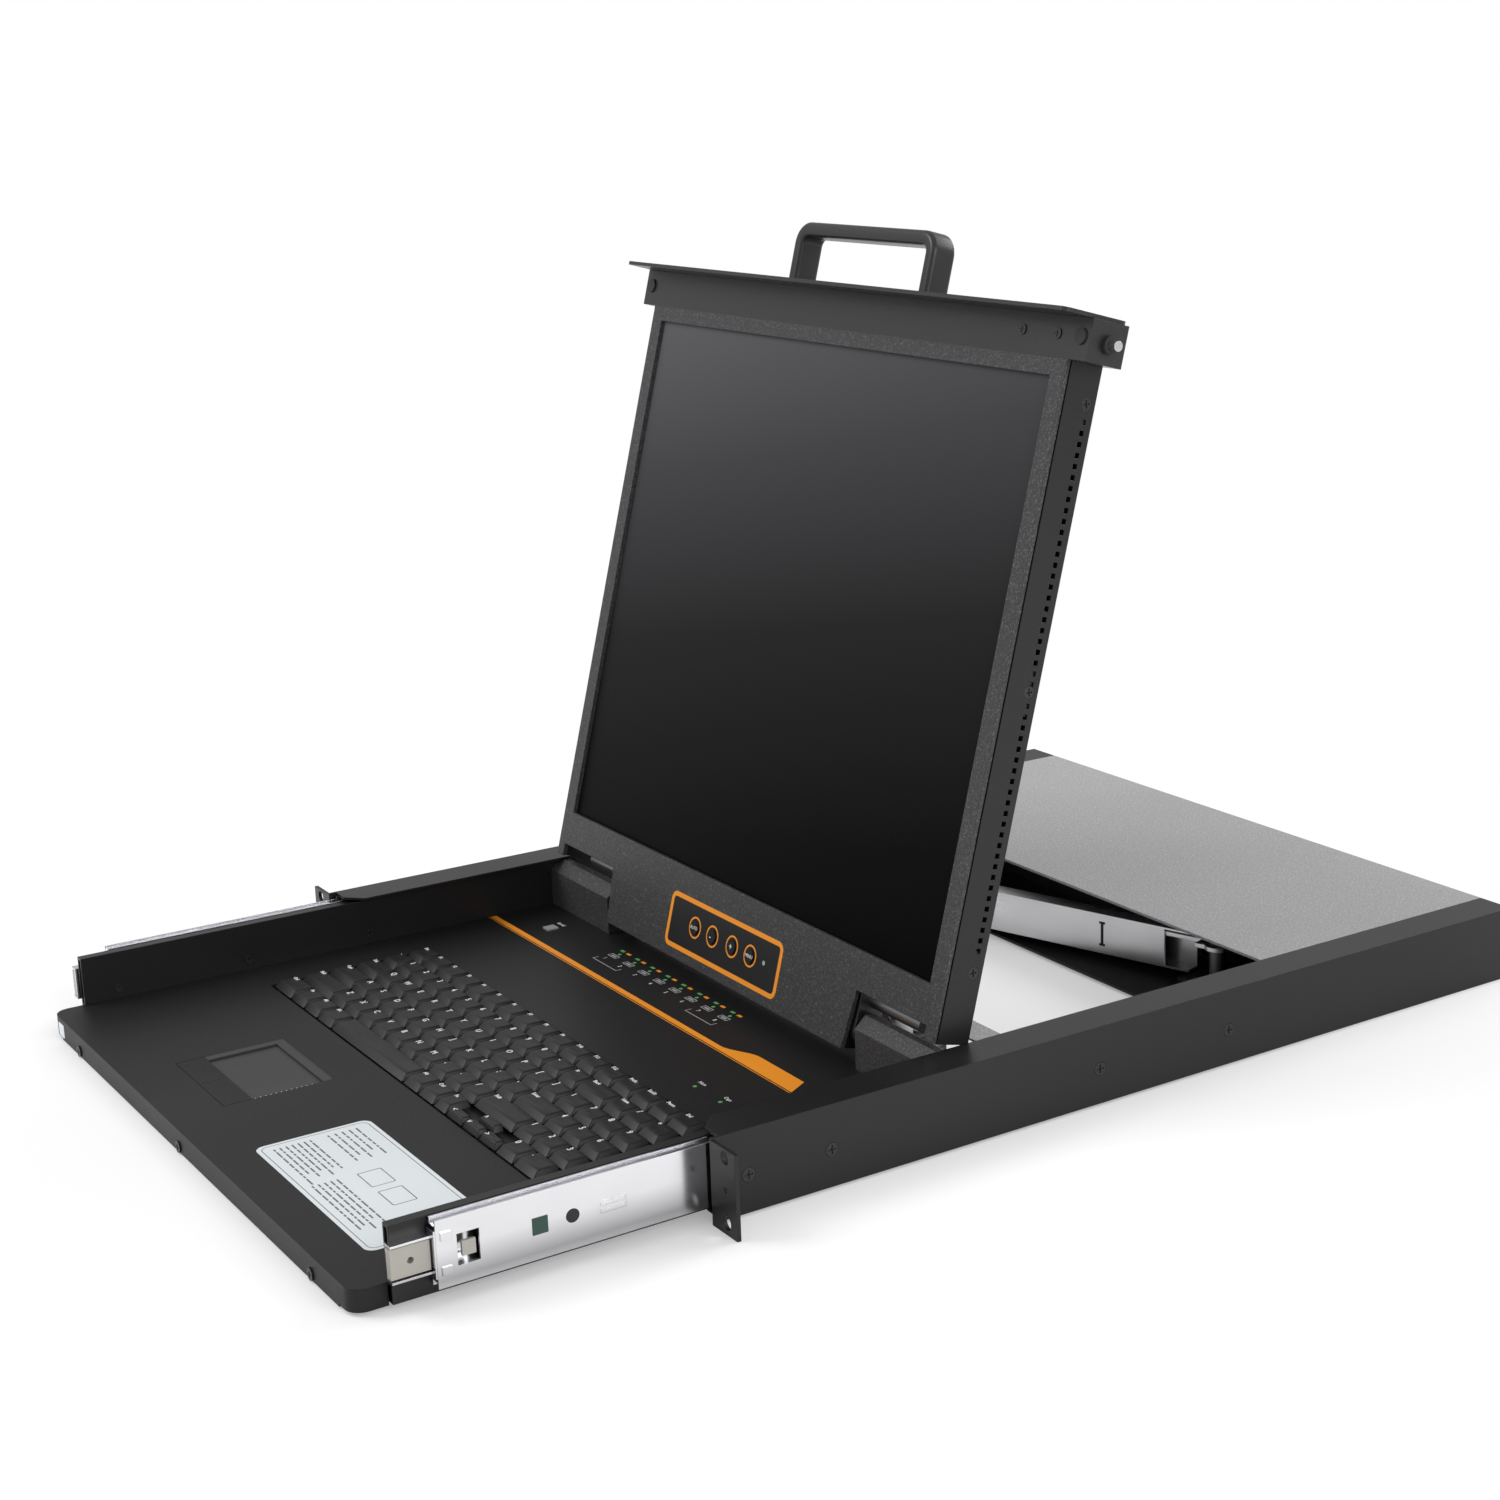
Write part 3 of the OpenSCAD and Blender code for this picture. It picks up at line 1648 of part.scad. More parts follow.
module arm_bracket_drawer() {
  side = arm_pin_d / 2 + slip;
  color([0.3, 0.3, 0.32])
    difference() {
      union() {
        slab(
          [arm_x - side - slot_wall, arm_x + side + slot_wall],
          [front_y - slot_half - slot_wall, front_y + slot_half + slot_wall],
          [bracket_z, bracket_z + bracket_t]
        );
        slab(
          [arm_x + side + slot_wall - fit, arm_x + side + slot_wall + post_w],
          [front_y - slot_half, drawer_back],
          [floor_t - drawer_low, bracket_z + bracket_t]
        );
      }
      slab(
        [arm_x - side, arm_x + side],
        [front_y - slot_half, front_y + slot_half],
        [bracket_z - over, bracket_z + bracket_t + over]
      );
    }
}

side_channels();
chassis_screws();
rear_top_cover();
bottom_pan();
rear_panel();
kvm_board();
rear_ports();
power_supply();
power_inlet();
power_rocker();
latch_keepers();
fixed_slides();
arm_bracket_rear();
middle_slides();
ball_cages_outer();
ball_cages_inner();
deck_tray();
front_corners();
drawer_walls();
drawer_floor();
drawer_screws();
drawer_rear_cover();
hinge_blocks();
hinge_pins();
inner_slides();
slide_bumpers();
arm_bracket_drawer();
keyboard_base();
touchpad();
indicator_board();
key_row_1();
key_row_2();
key_row_3();
key_row_4();
key_row_5();
key_row_6();
space_bar();
touch_button_left();
touch_button_right();
bank_button();
lcd_bezel();
screen_glass();
display_panel();
driver_board();
lcd_back_shell();
display_screws();
hinge_arms();
osd_button_1();
osd_button_2();
osd_button_3();
osd_button_4();
osd_board();
top_cap();
cap_bumpers();
front_plate();
handle();
latch_pin_left();
latch_pin_right();
arm_link_rear();
arm_link_front();
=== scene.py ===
# %% [markdown]
# This lesson dresses a rack console: a low steel drawer with a keyboard, and a display that folds
# onto it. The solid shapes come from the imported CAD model, so the first step is to load it.
# Everything made here is in metres, in that model's own frame, and rides on one of its moving
# bodies.

# %% Load the frame
import json
import math
import bmesh
import bpy
from mathutils import Matrix, Vector


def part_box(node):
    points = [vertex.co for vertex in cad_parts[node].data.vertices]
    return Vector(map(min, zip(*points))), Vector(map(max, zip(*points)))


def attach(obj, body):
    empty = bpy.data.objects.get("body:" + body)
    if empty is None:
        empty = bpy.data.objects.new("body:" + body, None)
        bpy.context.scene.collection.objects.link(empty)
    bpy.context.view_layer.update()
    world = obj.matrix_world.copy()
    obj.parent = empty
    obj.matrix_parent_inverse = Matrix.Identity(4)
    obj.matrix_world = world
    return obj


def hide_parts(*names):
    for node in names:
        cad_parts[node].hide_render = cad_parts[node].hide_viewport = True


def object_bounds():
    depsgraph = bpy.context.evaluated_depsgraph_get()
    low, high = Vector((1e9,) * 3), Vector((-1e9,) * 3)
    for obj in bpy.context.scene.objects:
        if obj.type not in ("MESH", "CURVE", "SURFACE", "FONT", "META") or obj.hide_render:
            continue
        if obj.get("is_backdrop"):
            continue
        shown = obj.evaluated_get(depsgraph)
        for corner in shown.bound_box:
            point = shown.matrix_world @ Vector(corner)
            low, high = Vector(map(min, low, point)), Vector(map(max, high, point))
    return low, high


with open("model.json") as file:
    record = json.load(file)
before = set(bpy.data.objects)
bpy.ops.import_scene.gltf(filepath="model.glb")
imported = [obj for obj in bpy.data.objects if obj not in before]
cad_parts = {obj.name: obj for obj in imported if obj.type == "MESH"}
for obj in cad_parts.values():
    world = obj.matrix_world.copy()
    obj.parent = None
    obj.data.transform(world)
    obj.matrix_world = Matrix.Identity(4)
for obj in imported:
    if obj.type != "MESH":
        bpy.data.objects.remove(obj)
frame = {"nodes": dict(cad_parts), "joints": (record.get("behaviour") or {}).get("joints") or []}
cad_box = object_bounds()
MM = 0.001
stand_up = Matrix.Rotation(math.radians(90), 4, "X")
flat = Matrix.Identity(4)
joints = {joint["name"]: joint for joint in frame["joints"]}

# %% [markdown]
# The display leans back, so its pieces are drawn in its own upright frame: x across, y back from
# the front face, z up from the bottom of the screen. One matrix then stands them in their real
# place. The hinge joint gives the axis, and a menu button's joint gives the direction straight
# into the display.

# %% The display's own frame
AXIS_DEPTH = 11 * MM
AXIS_DROP = 42 * MM
hinge_at = Vector(joints["display_hinge"]["pos_m"])
into_display = joints["menu_button_1_press"]["axis"]
tilt = math.atan2(-into_display[2], into_display[1])
on_display = (
    Matrix.Translation(hinge_at)
    @ Matrix.Rotation(-tilt, 4, "X")
    @ Matrix.Translation((0, -AXIS_DEPTH, AXIS_DROP))
)
upright = on_display @ stand_up
print("display leans back by", round(math.degrees(tilt), 1), "degrees")

# %% [markdown]
# A shader is a small sum, so it reads best as one. Wire wraps a socket and gives it plus, minus
# and times, each of which adds a Math node. Finish holds one material and makes every other node
# by one method: the node's type, its settings, then the values or links of its inputs. Several
# sockets of the Mix node share one name, so they are told apart by number.


# %% Sums on sockets
class Wire:
    def __init__(self, finish, socket):
        self.finish = finish
        self.socket = socket

    def sum(self, operation, first, second):
        return self.finish.node("ShaderNodeMath", {"operation": operation}, {0: first, 1: second})

    def __add__(self, other):
        return self.sum("ADD", self, other)

    def __radd__(self, other):
        return self.sum("ADD", other, self)

    def __sub__(self, other):
        return self.sum("SUBTRACT", self, other)

    def __rsub__(self, other):
        return self.sum("SUBTRACT", other, self)

    def __mul__(self, other):
        return self.sum("MULTIPLY", self, other)

    def __rmul__(self, other):
        return self.sum("MULTIPLY", other, self)


# %% One material
MIX_FACTOR, MIX_FIRST, MIX_SECOND, MIX_RESULT = 0, 6, 7, 2
BEVEL_SAMPLES = 4


class Finish:
    def __init__(self, name, **constants):
        self.material = bpy.data.materials.new(name)
        self.material.use_nodes = True
        self.tree = self.material.node_tree
        self.shader = self.tree.nodes["Principled BSDF"]
        for socket, value in constants.items():
            self.shader.inputs[socket.replace("_", " ")].default_value = value

    def node(self, kind, settings=None, inputs=None, output=0):
        made = self.tree.nodes.new(kind)
        for key, value in (settings or {}).items():
            if key == "stops":
                self.set_stops(made.color_ramp, value)
            else:
                setattr(made, key, value)
        for key, value in (inputs or {}).items():
            self.put(made.inputs[key], value)
        return Wire(self, made.outputs[output])

    def set_stops(self, ramp, stops):
        ramp.elements[0].position, ramp.elements[0].color = stops[0]
        ramp.elements[1].position, ramp.elements[1].color = stops[-1]
        for place, colour in stops[1:-1]:
            ramp.elements.new(place).color = colour

    def put(self, socket, value):
        if isinstance(value, Wire):
            self.tree.links.new(value.socket, socket)
        else:
            socket.default_value = value

    def surface(self, socket, value):
        self.put(self.shader.inputs[socket], value)

    def place(self, scale=(1, 1, 1)):
        here = self.node("ShaderNodeTexCoord", output="Object")
        return self.node("ShaderNodeMapping", {}, {"Vector": here, "Scale": scale})

    def across_and_up(self):
        """The object's own x and z at each point."""
        here = self.node("ShaderNodeTexCoord", output="Object")
        parts = self.node("ShaderNodeSeparateXYZ", {}, {"Vector": here}).socket.node
        return Wire(self, parts.outputs["X"]), Wire(self, parts.outputs["Z"])

    def noise(self, scale, stretch=(1, 1, 1), detail=3, roughness=0.5):
        look = {"Scale": scale, "Detail": detail, "Roughness": roughness}
        return self.node("ShaderNodeTexNoise", {}, {"Vector": self.place(stretch), **look})

    def mix(self, factor, first, second):
        inputs = {MIX_FACTOR: factor, MIX_FIRST: first, MIX_SECOND: second}
        return self.node("ShaderNodeMix", {"data_type": "RGBA"}, inputs, MIX_RESULT)

    def relief(self, height, depth, edge=0):
        links = {"Height": height, "Distance": depth, "Strength": 1.0}
        if edge:
            rounded = self.node("ShaderNodeBevel", {"samples": BEVEL_SAMPLES}, {"Radius": edge})
            links["Normal"] = rounded
        self.surface("Normal", self.node("ShaderNodeBump", {}, links))


def grey(value, tint=0.0):
    return (value, value, value * (1 + tint), 1)


def shaded(colour, share):
    return tuple(share * part for part in colour[:3]) + (1,)


# %% [markdown]
# Most of the console is folded steel under a black powder coat. Powder melts into tiny soft bumps,
# so fine noise drives the bump and a little of the roughness, and a wide, faint noise keeps large
# faces from looking computer-flat. The bevel radius catches light on sheet edges that are sharp in
# the CAD. An image could carry the same grain, but noise needs no file and has no seams.


# %% Powder coats
POWDER_GRAIN = 900
POWDER_CLOUDS = 7
SHEET_EDGE = 0.5 * MM
SPECKLE_STOPS = [(0.52, grey(0)), (0.66, grey(1))]


def powder_coat(name, colour, speckle=0.0, roughness=0.42, shine=0.22, depth=0.02 * MM):
    made = Finish(name, Specular_IOR_Level=shine)
    fine = made.noise(POWDER_GRAIN, detail=4, roughness=0.7)
    wide = made.noise(POWDER_CLOUDS, detail=2)
    light = grey(min(1, colour[0] + speckle), 0.02)
    dust = made.node("ShaderNodeValToRGB", {"stops": SPECKLE_STOPS}, {"Fac": fine})
    spots = made.mix(dust * (1.0 if speckle else 0.0), colour, light)
    shade = made.mix(wide * 0.35, spots, shaded(colour, 0.75))
    made.surface("Base Color", shade)
    made.surface("Roughness", roughness + (fine - 0.5) * 0.2 + (wide - 0.5) * 0.12)
    made.relief(fine, depth, edge=SHEET_EDGE)
    return made.material


black_coat = powder_coat("black_coat", grey(0.008, 0.1), roughness=0.36, shine=0.36)
deck_coat = powder_coat("deck_coat", grey(0.009, 0.08), roughness=0.46, shine=0.26)
frame_coat = powder_coat(
    "frame_coat", grey(0.04, 0.06), speckle=0.09, roughness=0.4, depth=0.04 * MM
)
# The rear covers wear the same black paint; their light grey base is a painted sheen, the bright backdrop
# reflected at a grazing angle, with the paint's speckle on top.
cover_speckle_and_painted_sheen = powder_coat(
    "cover_speckle_and_painted_sheen", grey(0.34, 0.02), speckle=0.3, roughness=0.5, depth=0.05 * MM
)
plate_coat = powder_coat("plate_coat", grey(0.026, 0.06), roughness=0.32, shine=0.32)
print("materials after the powder coats:", len(bpy.data.materials))

# %% [markdown]
# The slides are bright zinc on rolled steel: almost a mirror, with faint draw marks along their
# length. Stretching the noise coordinates makes those streaks, and a darker band runs low along
# the slides. The same idea with other numbers gives the duller hinge steel and the dark screws.


# %% Bare and plated steel
STREAKS = 60
CLOUDS = 25
ROLLED_EDGE = 0.25 * MM
BAND_STOPS = [
    (0.0, grey(0.15)),
    (0.2, grey(0.9)),
    (0.45, grey(0.35)),
    (0.62, grey(0)),
    (1, grey(0)),
]


def plated_steel(name, colour, roughness, stretch, streak=0.25, depth=0.004 * MM, band=0.0):
    made = Finish(name, Metallic=1.0)
    lines = made.noise(STREAKS, stretch, detail=4, roughness=0.6)
    cloud = made.noise(CLOUDS, detail=3)
    metal = made.mix(cloud * 0.6, colour, shaded(colour, 0.72))
    if band:
        height = made.across_and_up()[1] * 30 + 0.5
        where = made.node("ShaderNodeValToRGB", {"stops": BAND_STOPS}, {"Fac": height})
        metal = made.mix(where, metal, shaded(colour, band))
    made.surface("Base Color", metal)
    made.surface("Roughness", roughness + (lines - 0.5) * streak * 0.6 + (cloud - 0.5) * 0.1)
    made.relief(lines, depth, edge=ROLLED_EDGE)
    return made.material


slide_zinc = plated_steel("slide_zinc", grey(0.8, 0.03), 0.16, (40, 1, 40), band=0.45)
arm_zinc = plated_steel("arm_zinc", grey(0.78, 0.02), 0.3, (1, 1, 20), streak=0.1, depth=0.001 * MM)
hinge_steel = plated_steel("hinge_steel", grey(0.27, 0.02), 0.36, (1, 30, 30))
bracket_steel = plated_steel("bracket_steel", grey(0.2, 0.02), 0.4, (1, 1, 1))
screw_steel = plated_steel("screw_steel", grey(0.06, 0.02), 0.34, (1, 1, 1))
pin_chrome = plated_steel("pin_chrome", grey(0.85, 0.01), 0.14, (1, 40, 40))
print("materials after the steels:", len(bpy.data.materials))

# %% [markdown]
# The plastics are plain moulded parts with a light spark-eroded texture. Key caps are a touch
# glossier where fingers polish them, which the wide noise suggests. Prints are matt ink with a
# faint mottle. The boards show tracks along the edges of Voronoi cells, which is enough for parts
# that sit deep inside.


# %% Plastics, prints and boards
MOULD_CLOUDS = 45
INK_GRAIN = 700


def moulded(name, colour, roughness=0.5, grain=1400, depth=0.012 * MM, **constants):
    made = Finish(name, **constants)
    fine = made.noise(grain, detail=2)
    wide = made.noise(MOULD_CLOUDS, detail=2)
    made.surface("Base Color", made.mix(wide * 0.3, colour, shaded(colour, 0.8)))
    made.surface("Roughness", roughness + (fine - 0.5) * 0.15 + (wide - 0.5) * 0.12)
    made.relief(fine, depth)
    return made.material


def printed(name, colour, roughness=0.55):
    made = Finish(name)
    ink = made.noise(INK_GRAIN, detail=2)
    made.surface("Base Color", made.mix(ink * 0.25, colour, shaded(colour, 0.8)))
    made.surface("Roughness", roughness + (ink - 0.5) * 0.2)
    return made.material


TRACK_CELLS = 120
TRACK_STOPS = [(0.04, grey(1)), (0.08, grey(0))]
BOARD_LACQUER = (0.012, 0.1, 0.045, 1)
BOARD_TRACKS = (0.03, 0.19, 0.09, 1)


def circuit(name):
    made = Finish(name, Coat_Roughness=0.2)
    cells = {"Vector": made.place(), "Scale": TRACK_CELLS}
    tracks = made.node("ShaderNodeTexVoronoi", {"feature": "DISTANCE_TO_EDGE"}, cells)
    lines = made.node("ShaderNodeValToRGB", {"stops": TRACK_STOPS}, {"Fac": tracks})
    made.surface("Base Color", made.mix(lines, BOARD_LACQUER, BOARD_TRACKS))
    made.surface("Roughness", 0.35 + lines * 0.1)
    made.relief(lines, 0.03 * MM)
    return made.material


black_plastic = moulded("black_plastic", grey(0.011, 0.04), Specular_IOR_Level=0.25)
key_plastic = moulded("key_plastic", grey(0.01, 0.08), roughness=0.42, Specular_IOR_Level=0.3)
pad_plastic = moulded("pad_plastic", grey(0.045, 0.03), grain=2500, Specular_IOR_Level=0.3)
rubber = moulded("rubber", grey(0.012), roughness=0.7)
nylon = moulded("nylon", (0.36, 0.35, 0.31, 1), roughness=0.35)
stop_plastic = moulded("stop_plastic", (0.012, 0.05, 0.035, 1), roughness=0.4)
button_grey = moulded("button_grey", grey(0.3, 0.03), roughness=0.4)
port_plastic = moulded("port_plastic", (0.02, 0.05, 0.28, 1), roughness=0.4)
dull_metal = moulded("dull_metal", grey(0.4), roughness=0.35, Metallic=1.0)
orange_print = printed("orange_print", (0.86, 0.29, 0.008, 1))
white_print = printed("white_print", grey(0.82, 0.02))
dim_print = printed("dim_print", grey(0.36, 0.04))
green_print = printed("green_print", (0.1, 0.34, 0.1, 1))
label_print = printed("label_print", (0.72, 0.76, 0.78, 1), roughness=0.4)
rule_print = printed("rule_print", grey(0.14, 0.05))
board_green = circuit("board_green")
print("materials after the plastics and prints:", len(bpy.data.materials))

# %% [markdown]
# The screen is off. Its hard, slightly hazy cover reflects the room as a smooth fade, lighter at
# the upper left. A lamp's reflection could make that fade, but it would jump as the view turns, so
# the fade is a painted reflection in the base colour.


# %% Screen glass
HAZE_GRAIN = 2500
PAINTED_REFLECTION_STOPS = [
    (0.0, grey(0.001)),
    (0.2, grey(0.003)),
    (0.5, grey(0.017, 0.06)),
    (0.75, grey(0.05, 0.06)),
    (1.0, grey(0.1, 0.06)),
]


def screen_finish():
    made = Finish("screen_dark", Specular_IOR_Level=0.02)
    across, up = made.across_and_up()
    lift = up * 2.6 - across * 0.5
    # These stops paint the room's reflection into the base colour, lighter towards the upper left.
    fade = made.node("ShaderNodeValToRGB", {"stops": PAINTED_REFLECTION_STOPS}, {"Fac": lift})
    made.surface("Base Color", fade)
    haze = made.noise(HAZE_GRAIN, detail=2)
    made.surface("Roughness", 0.32 + haze * 0.06)
    return made.material


screen_dark = screen_finish()
print("stops in the screen's fade:", len(PAINTED_REFLECTION_STOPS))

# %% [markdown]
# Each CAD node keeps its exact mesh and only receives a finish, written into its material slots.
# The table goes from a finish to the nodes that wear it. Finer pieces replace some nodes further
# on.

# %% Dress the CAD nodes
wardrobe = {
    black_coat: "side_channels bottom_pan rear_panel drawer_walls drawer_floor lcd_back_shell",
    deck_coat: "deck_tray",
    plate_coat: "top_cap front_plate handle",
    frame_coat: "lcd_bezel hinge_blocks",
    cover_speckle_and_painted_sheen: "rear_top_cover drawer_rear_cover",
    slide_zinc: "fixed_slides middle_slides inner_slides",
    arm_zinc: "arm_link_rear arm_link_front power_supply",
    hinge_steel: "hinge_arms hinge_pins ball_cages_outer ball_cages_inner",
    bracket_steel: "latch_keepers arm_bracket_rear arm_bracket_drawer",
    pin_chrome: "latch_pin_left latch_pin_right",
    screw_steel: "chassis_screws drawer_screws display_screws",
    board_green: "kvm_board driver_board osd_board indicator_board",
    port_plastic: "rear_ports",
    black_plastic: "power_inlet power_rocker front_corners keyboard_base "
    "touch_button_left touch_button_right osd_button_1 osd_button_2 osd_button_3 osd_button_4",
    pad_plastic: "touchpad",
    key_plastic: "key_row_1 key_row_2 key_row_3 key_row_4 key_row_5 key_row_6 space_bar",
    button_grey: "bank_button",
    rubber: "cap_bumpers",
    nylon: "slide_bumpers",
    screen_dark: "screen_glass",
    dull_metal: "display_panel",
}
dressed = set()
for finish, names in wardrobe.items():
    for name in names.split():
        slots = frame["nodes"][name].data.materials
        slots.clear()
        slots.append(finish)
        dressed.add(name)
print("dressed:", len(dressed), "left bare:", sorted(set(frame["nodes"]) - dressed))

# %% [markdown]
# Three makers serve most of the added pieces. One turns a bmesh into a finished object. One cuts a
# flat plate from closed loops, with holes, by filling a curve. One writes words as thin meshes,
# already laid in place, because a finished piece's object has to stay at the origin.


# %% Makers of pieces
def finish_piece(name, mesh, finish, body, stands_for=()):
    mesh.materials.clear()
    mesh.materials.append(finish)
    piece = bpy.data.objects.new(name, mesh)
    bpy.context.scene.collection.objects.link(piece)
    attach(piece, body)
    if stands_for:
        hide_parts(*stands_for)


def from_bmesh(name, shape, finish, body, stands_for=(), smooth=None):
    bmesh.ops.recalc_face_normals(shape, faces=shape.faces[:])
    mesh = bpy.data.meshes.new(name)
    shape.to_mesh(mesh)
    shape.free()
    if smooth:
        mesh.shade_smooth()
        mesh.set_sharp_from_angle(angle=math.radians(smooth))
    finish_piece(name, mesh, finish, body, stands_for)


def curve_mesh(name, curve):
    holder = bpy.data.objects.new(name, curve)
    bpy.context.scene.collection.objects.link(holder)
    seen = holder.evaluated_get(bpy.context.evaluated_depsgraph_get())
    mesh = bpy.data.meshes.new_from_object(seen)
    bpy.data.objects.remove(holder)
    bpy.data.curves.remove(curve)
    return mesh


def plate(name, loops, thickness, place, finish, body):
    """A flat plate from closed loops of points in metres, from its own ground plane up."""
    curve = bpy.data.curves.new(name, "CURVE")
    curve.dimensions = "2D"
    curve.fill_mode = "BOTH"
    curve.extrude = thickness / 2
    for loop in loops:
        spline = curve.splines.new("POLY")
        spline.points.add(len(loop) - 1)
        spline.use_cyclic_u = True
        for point, (x, y) in zip(spline.points, loop):
            point.co = (x, y, 0, 1)
    mesh = curve_mesh(name, curve)
    mesh.transform(place @ Matrix.Translation((0, 0, thickness / 2)))
    finish_piece(name, mesh, finish, body)


def words(name, items, place, finish, body, height=0.04 * MM):
    """Words as (text, x, y, size) in metres, from the left end of the base line."""
    shape = bmesh.new()
    for text, x, y, size in items:
        curve = bpy.data.curves.new(name, "FONT")
        curve.body = text
        curve.size = size
        curve.extrude = height / 2
        curve.resolution_u = 2
        mesh = curve_mesh(name, curve)
        mesh.transform(place @ Matrix.Translation((x, y, height / 2)))
        shape.from_mesh(mesh)
        bpy.data.meshes.remove(mesh)
    mesh = bpy.data.meshes.new(name)
    shape.to_mesh(mesh)
    shape.free()
    finish_piece(name, mesh, finish, body)


# %% [markdown]
# Flat shapes are lists of points. A few short functions give arcs, rounded boxes, frames, circles
# and bars, so that a print or a thin plate is little more than its numbers. Drawing each point by
# hand would work too, but a rounded corner would then have to be worked out again every time.

# %% Outlines
def arc(x, y, radius, start, end, steps=8):
    turns = [math.radians(start + (end - start) * i / steps) for i in range(steps + 1)]
    return [(x + radius * math.cos(a), y + radius * math.sin(a)) for a in turns]


def round_box(x0, x1, y0, y1, radius):
    return (
        arc(x1 - radius, y0 + radius, radius, -90, 0)
        + arc(x1 - radius, y1 - radius, radius, 0, 90)
        + arc(x0 + radius, y1 - radius, radius, 90, 180)
        + arc(x0 + radius, y0 + radius, radius, 180, 270)
    )


def framed(box, width, outer, inner):
    """A rounded box and the same box set in by a width, with the radii of both."""
    x0, x1, y0, y1 = box
    inside = round_box(x0 + width, x1 - width, y0 + width, y1 - width, inner)
    return [round_box(*box, outer), inside]


def circle(x, y, radius, points=36):
    return arc(x, y, radius, 0, 360 - 360 / points, points - 1)


def ring(x, y, outer, inner):
    return [circle(x, y, outer), circle(x, y, inner)]


def bar(x0, x1, y0, y1):
    return [(x0, y0), (x1, y0), (x1, y1), (x0, y1)]


def centre(box):
    return (box[0] + box[1]) / 2


# %% Small solid blocks
def pour(part, shape, place=flat):
    """Moves everything in one bmesh into another."""
    mesh = bpy.data.meshes.new("part")
    part.to_mesh(mesh)
    part.free()
    mesh.transform(place)
    shape.from_mesh(mesh)
    bpy.data.meshes.remove(mesh)


def add_block(shape, low, high, bevel, place=flat):
    """A block with rounded edges, added to a bmesh."""
    part = bmesh.new()
    size = Vector(high) - Vector(low)
    middle = (Vector(high) + Vector(low)) / 2
    stretch = Matrix.Translation(middle) @ Matrix.Diagonal(size.to_4d())
    bmesh.ops.create_cube(part, size=1, matrix=stretch)
    bmesh.ops.bevel(part, geom=part.edges[:], offset=bevel, segments=2, profile=0.6, affect="EDGES")
    pour(part, shape, place)


def add_rod(shape, radius, length, sides, place):
    """A closed straight rod about the z axis of place, centred there."""
    bmesh.ops.create_cone(
        shape, cap_ends=True, segments=sides, radius1=radius, radius2=radius, depth=length,
        matrix=place,
    )


# %% [markdown]
# Some pieces are measured from the CAD itself. A node such as a key row holds many separate
# solids, so this helper merges a copy of its loose triangles and walks along their edges from
# corner to corner, which finds each solid's box.


# %% Solids inside a node
MERGE_WITHIN = 0.005 * MM


def solids(name, place=flat):
    """The boxes of a node's separate solids, as (low, high) in the frame of place."""
    shape = bmesh.new()
    shape.from_mesh(frame["nodes"][name].data)
    bmesh.ops.transform(shape, matrix=place.inverted(), verts=shape.verts[:])
    bmesh.ops.remove_doubles(shape, verts=shape.verts[:], dist=MERGE_WITHIN)
    shape.verts.ensure_lookup_table()
    seen = set()
    boxes = []
    for start in shape.verts:
        if start.index in seen:
            continue
        seen.add(start.index)
        found = [start]
        for vert in found:
            for edge in vert.link_edges:
                other = edge.other_vert(vert)
                if other.index not in seen:
                    seen.add(other.index)
                    found.append(other)
        low = Vector([min(v.co[i] for v in found) for i in range(3)])
        high = Vector([max(v.co[i] for v in found) for i in range(3)])
        boxes.append((low, high))
    shape.free()
    return sorted(boxes, key=lambda box: (box[0].x, box[0].y))


key_solids = {row: solids(f"key_row_{row}") for row in range(1, 7)}
space_solid = solids("space_bar")
print("keys in each row:", [len(boxes) for boxes in key_solids.values()])

# %% [markdown]
# Every key cap is a small moulded tub: sloping sides, a longer slope in front and rounded edges. A
# cap is eight corners and a bevel, with the middle of its top drawn down a little for the finger.
# Copies of one cap could stand on points, but widths differ, so each cap is built in its own CAD
# box. The caps of a row move together, so each row is one mesh that replaces the row's plain CAD
# caps.

# %% Key caps
CAP_HEIGHT = 3.4 * MM
CAP_SIDE = 1.3 * MM
CAP_FRONT_SHARE = 0.24
CAP_BACK_SHARE = 0.07
CAP_DISH = 0.25 * MM
CAP_DISH_SHARE = 0.22
CAP_EDGE = 0.7 * MM


def add_cap(shape, low, high):
    width = high.x - low.x
    depth = high.y - low.y
    foot = high.z - CAP_HEIGHT
    part = bmesh.new()
    front = low.y + CAP_FRONT_SHARE * depth
    back = high.y - CAP_BACK_SHARE * depth
    ground = [(low.x, low.y), (high.x, low.y), (high.x, high.y), (low.x, high.y)]
    top = [
        (low.x + CAP_SIDE, front), (high.x - CAP_SIDE, front),
        (high.x - CAP_SIDE, back), (low.x + CAP_SIDE, back),
    ]
    lower = [part.verts.new((x, y, foot)) for x, y in ground]
    upper = [part.verts.new((x, y, high.z)) for x, y in top]
    part.faces.new(lower[::-1])
    part.faces.new(upper)
    for i in range(4):
        j = (i + 1) % 4
        part.faces.new((lower[i], lower[j], upper[j], upper[i]))
    edges = [edge for edge in part.edges if not all(v in lower for v in edge.verts)]
    bmesh.ops.bevel(part, geom=edges, offset=CAP_EDGE, segments=3, profile=0.5, affect="EDGES")
    heights = {face: round(face.calc_center_median().z, 6) for face in part.faces}
    lid = max(part.faces, key=lambda face: (heights[face], face.calc_area()))
    rim_width = min(width, depth) * CAP_DISH_SHARE
    bmesh.ops.inset_region(part, faces=[lid], thickness=rim_width, depth=-CAP_DISH)
    bmesh.ops.recalc_face_normals(part, faces=part.faces[:])
    pour(part, shape)


def cap_row(name, boxes, body, node):
    caps = bmesh.new()
    for low, high in boxes:
        add_cap(caps, low, high)
    from_bmesh(name, caps, key_plastic, body, [node], smooth=40)


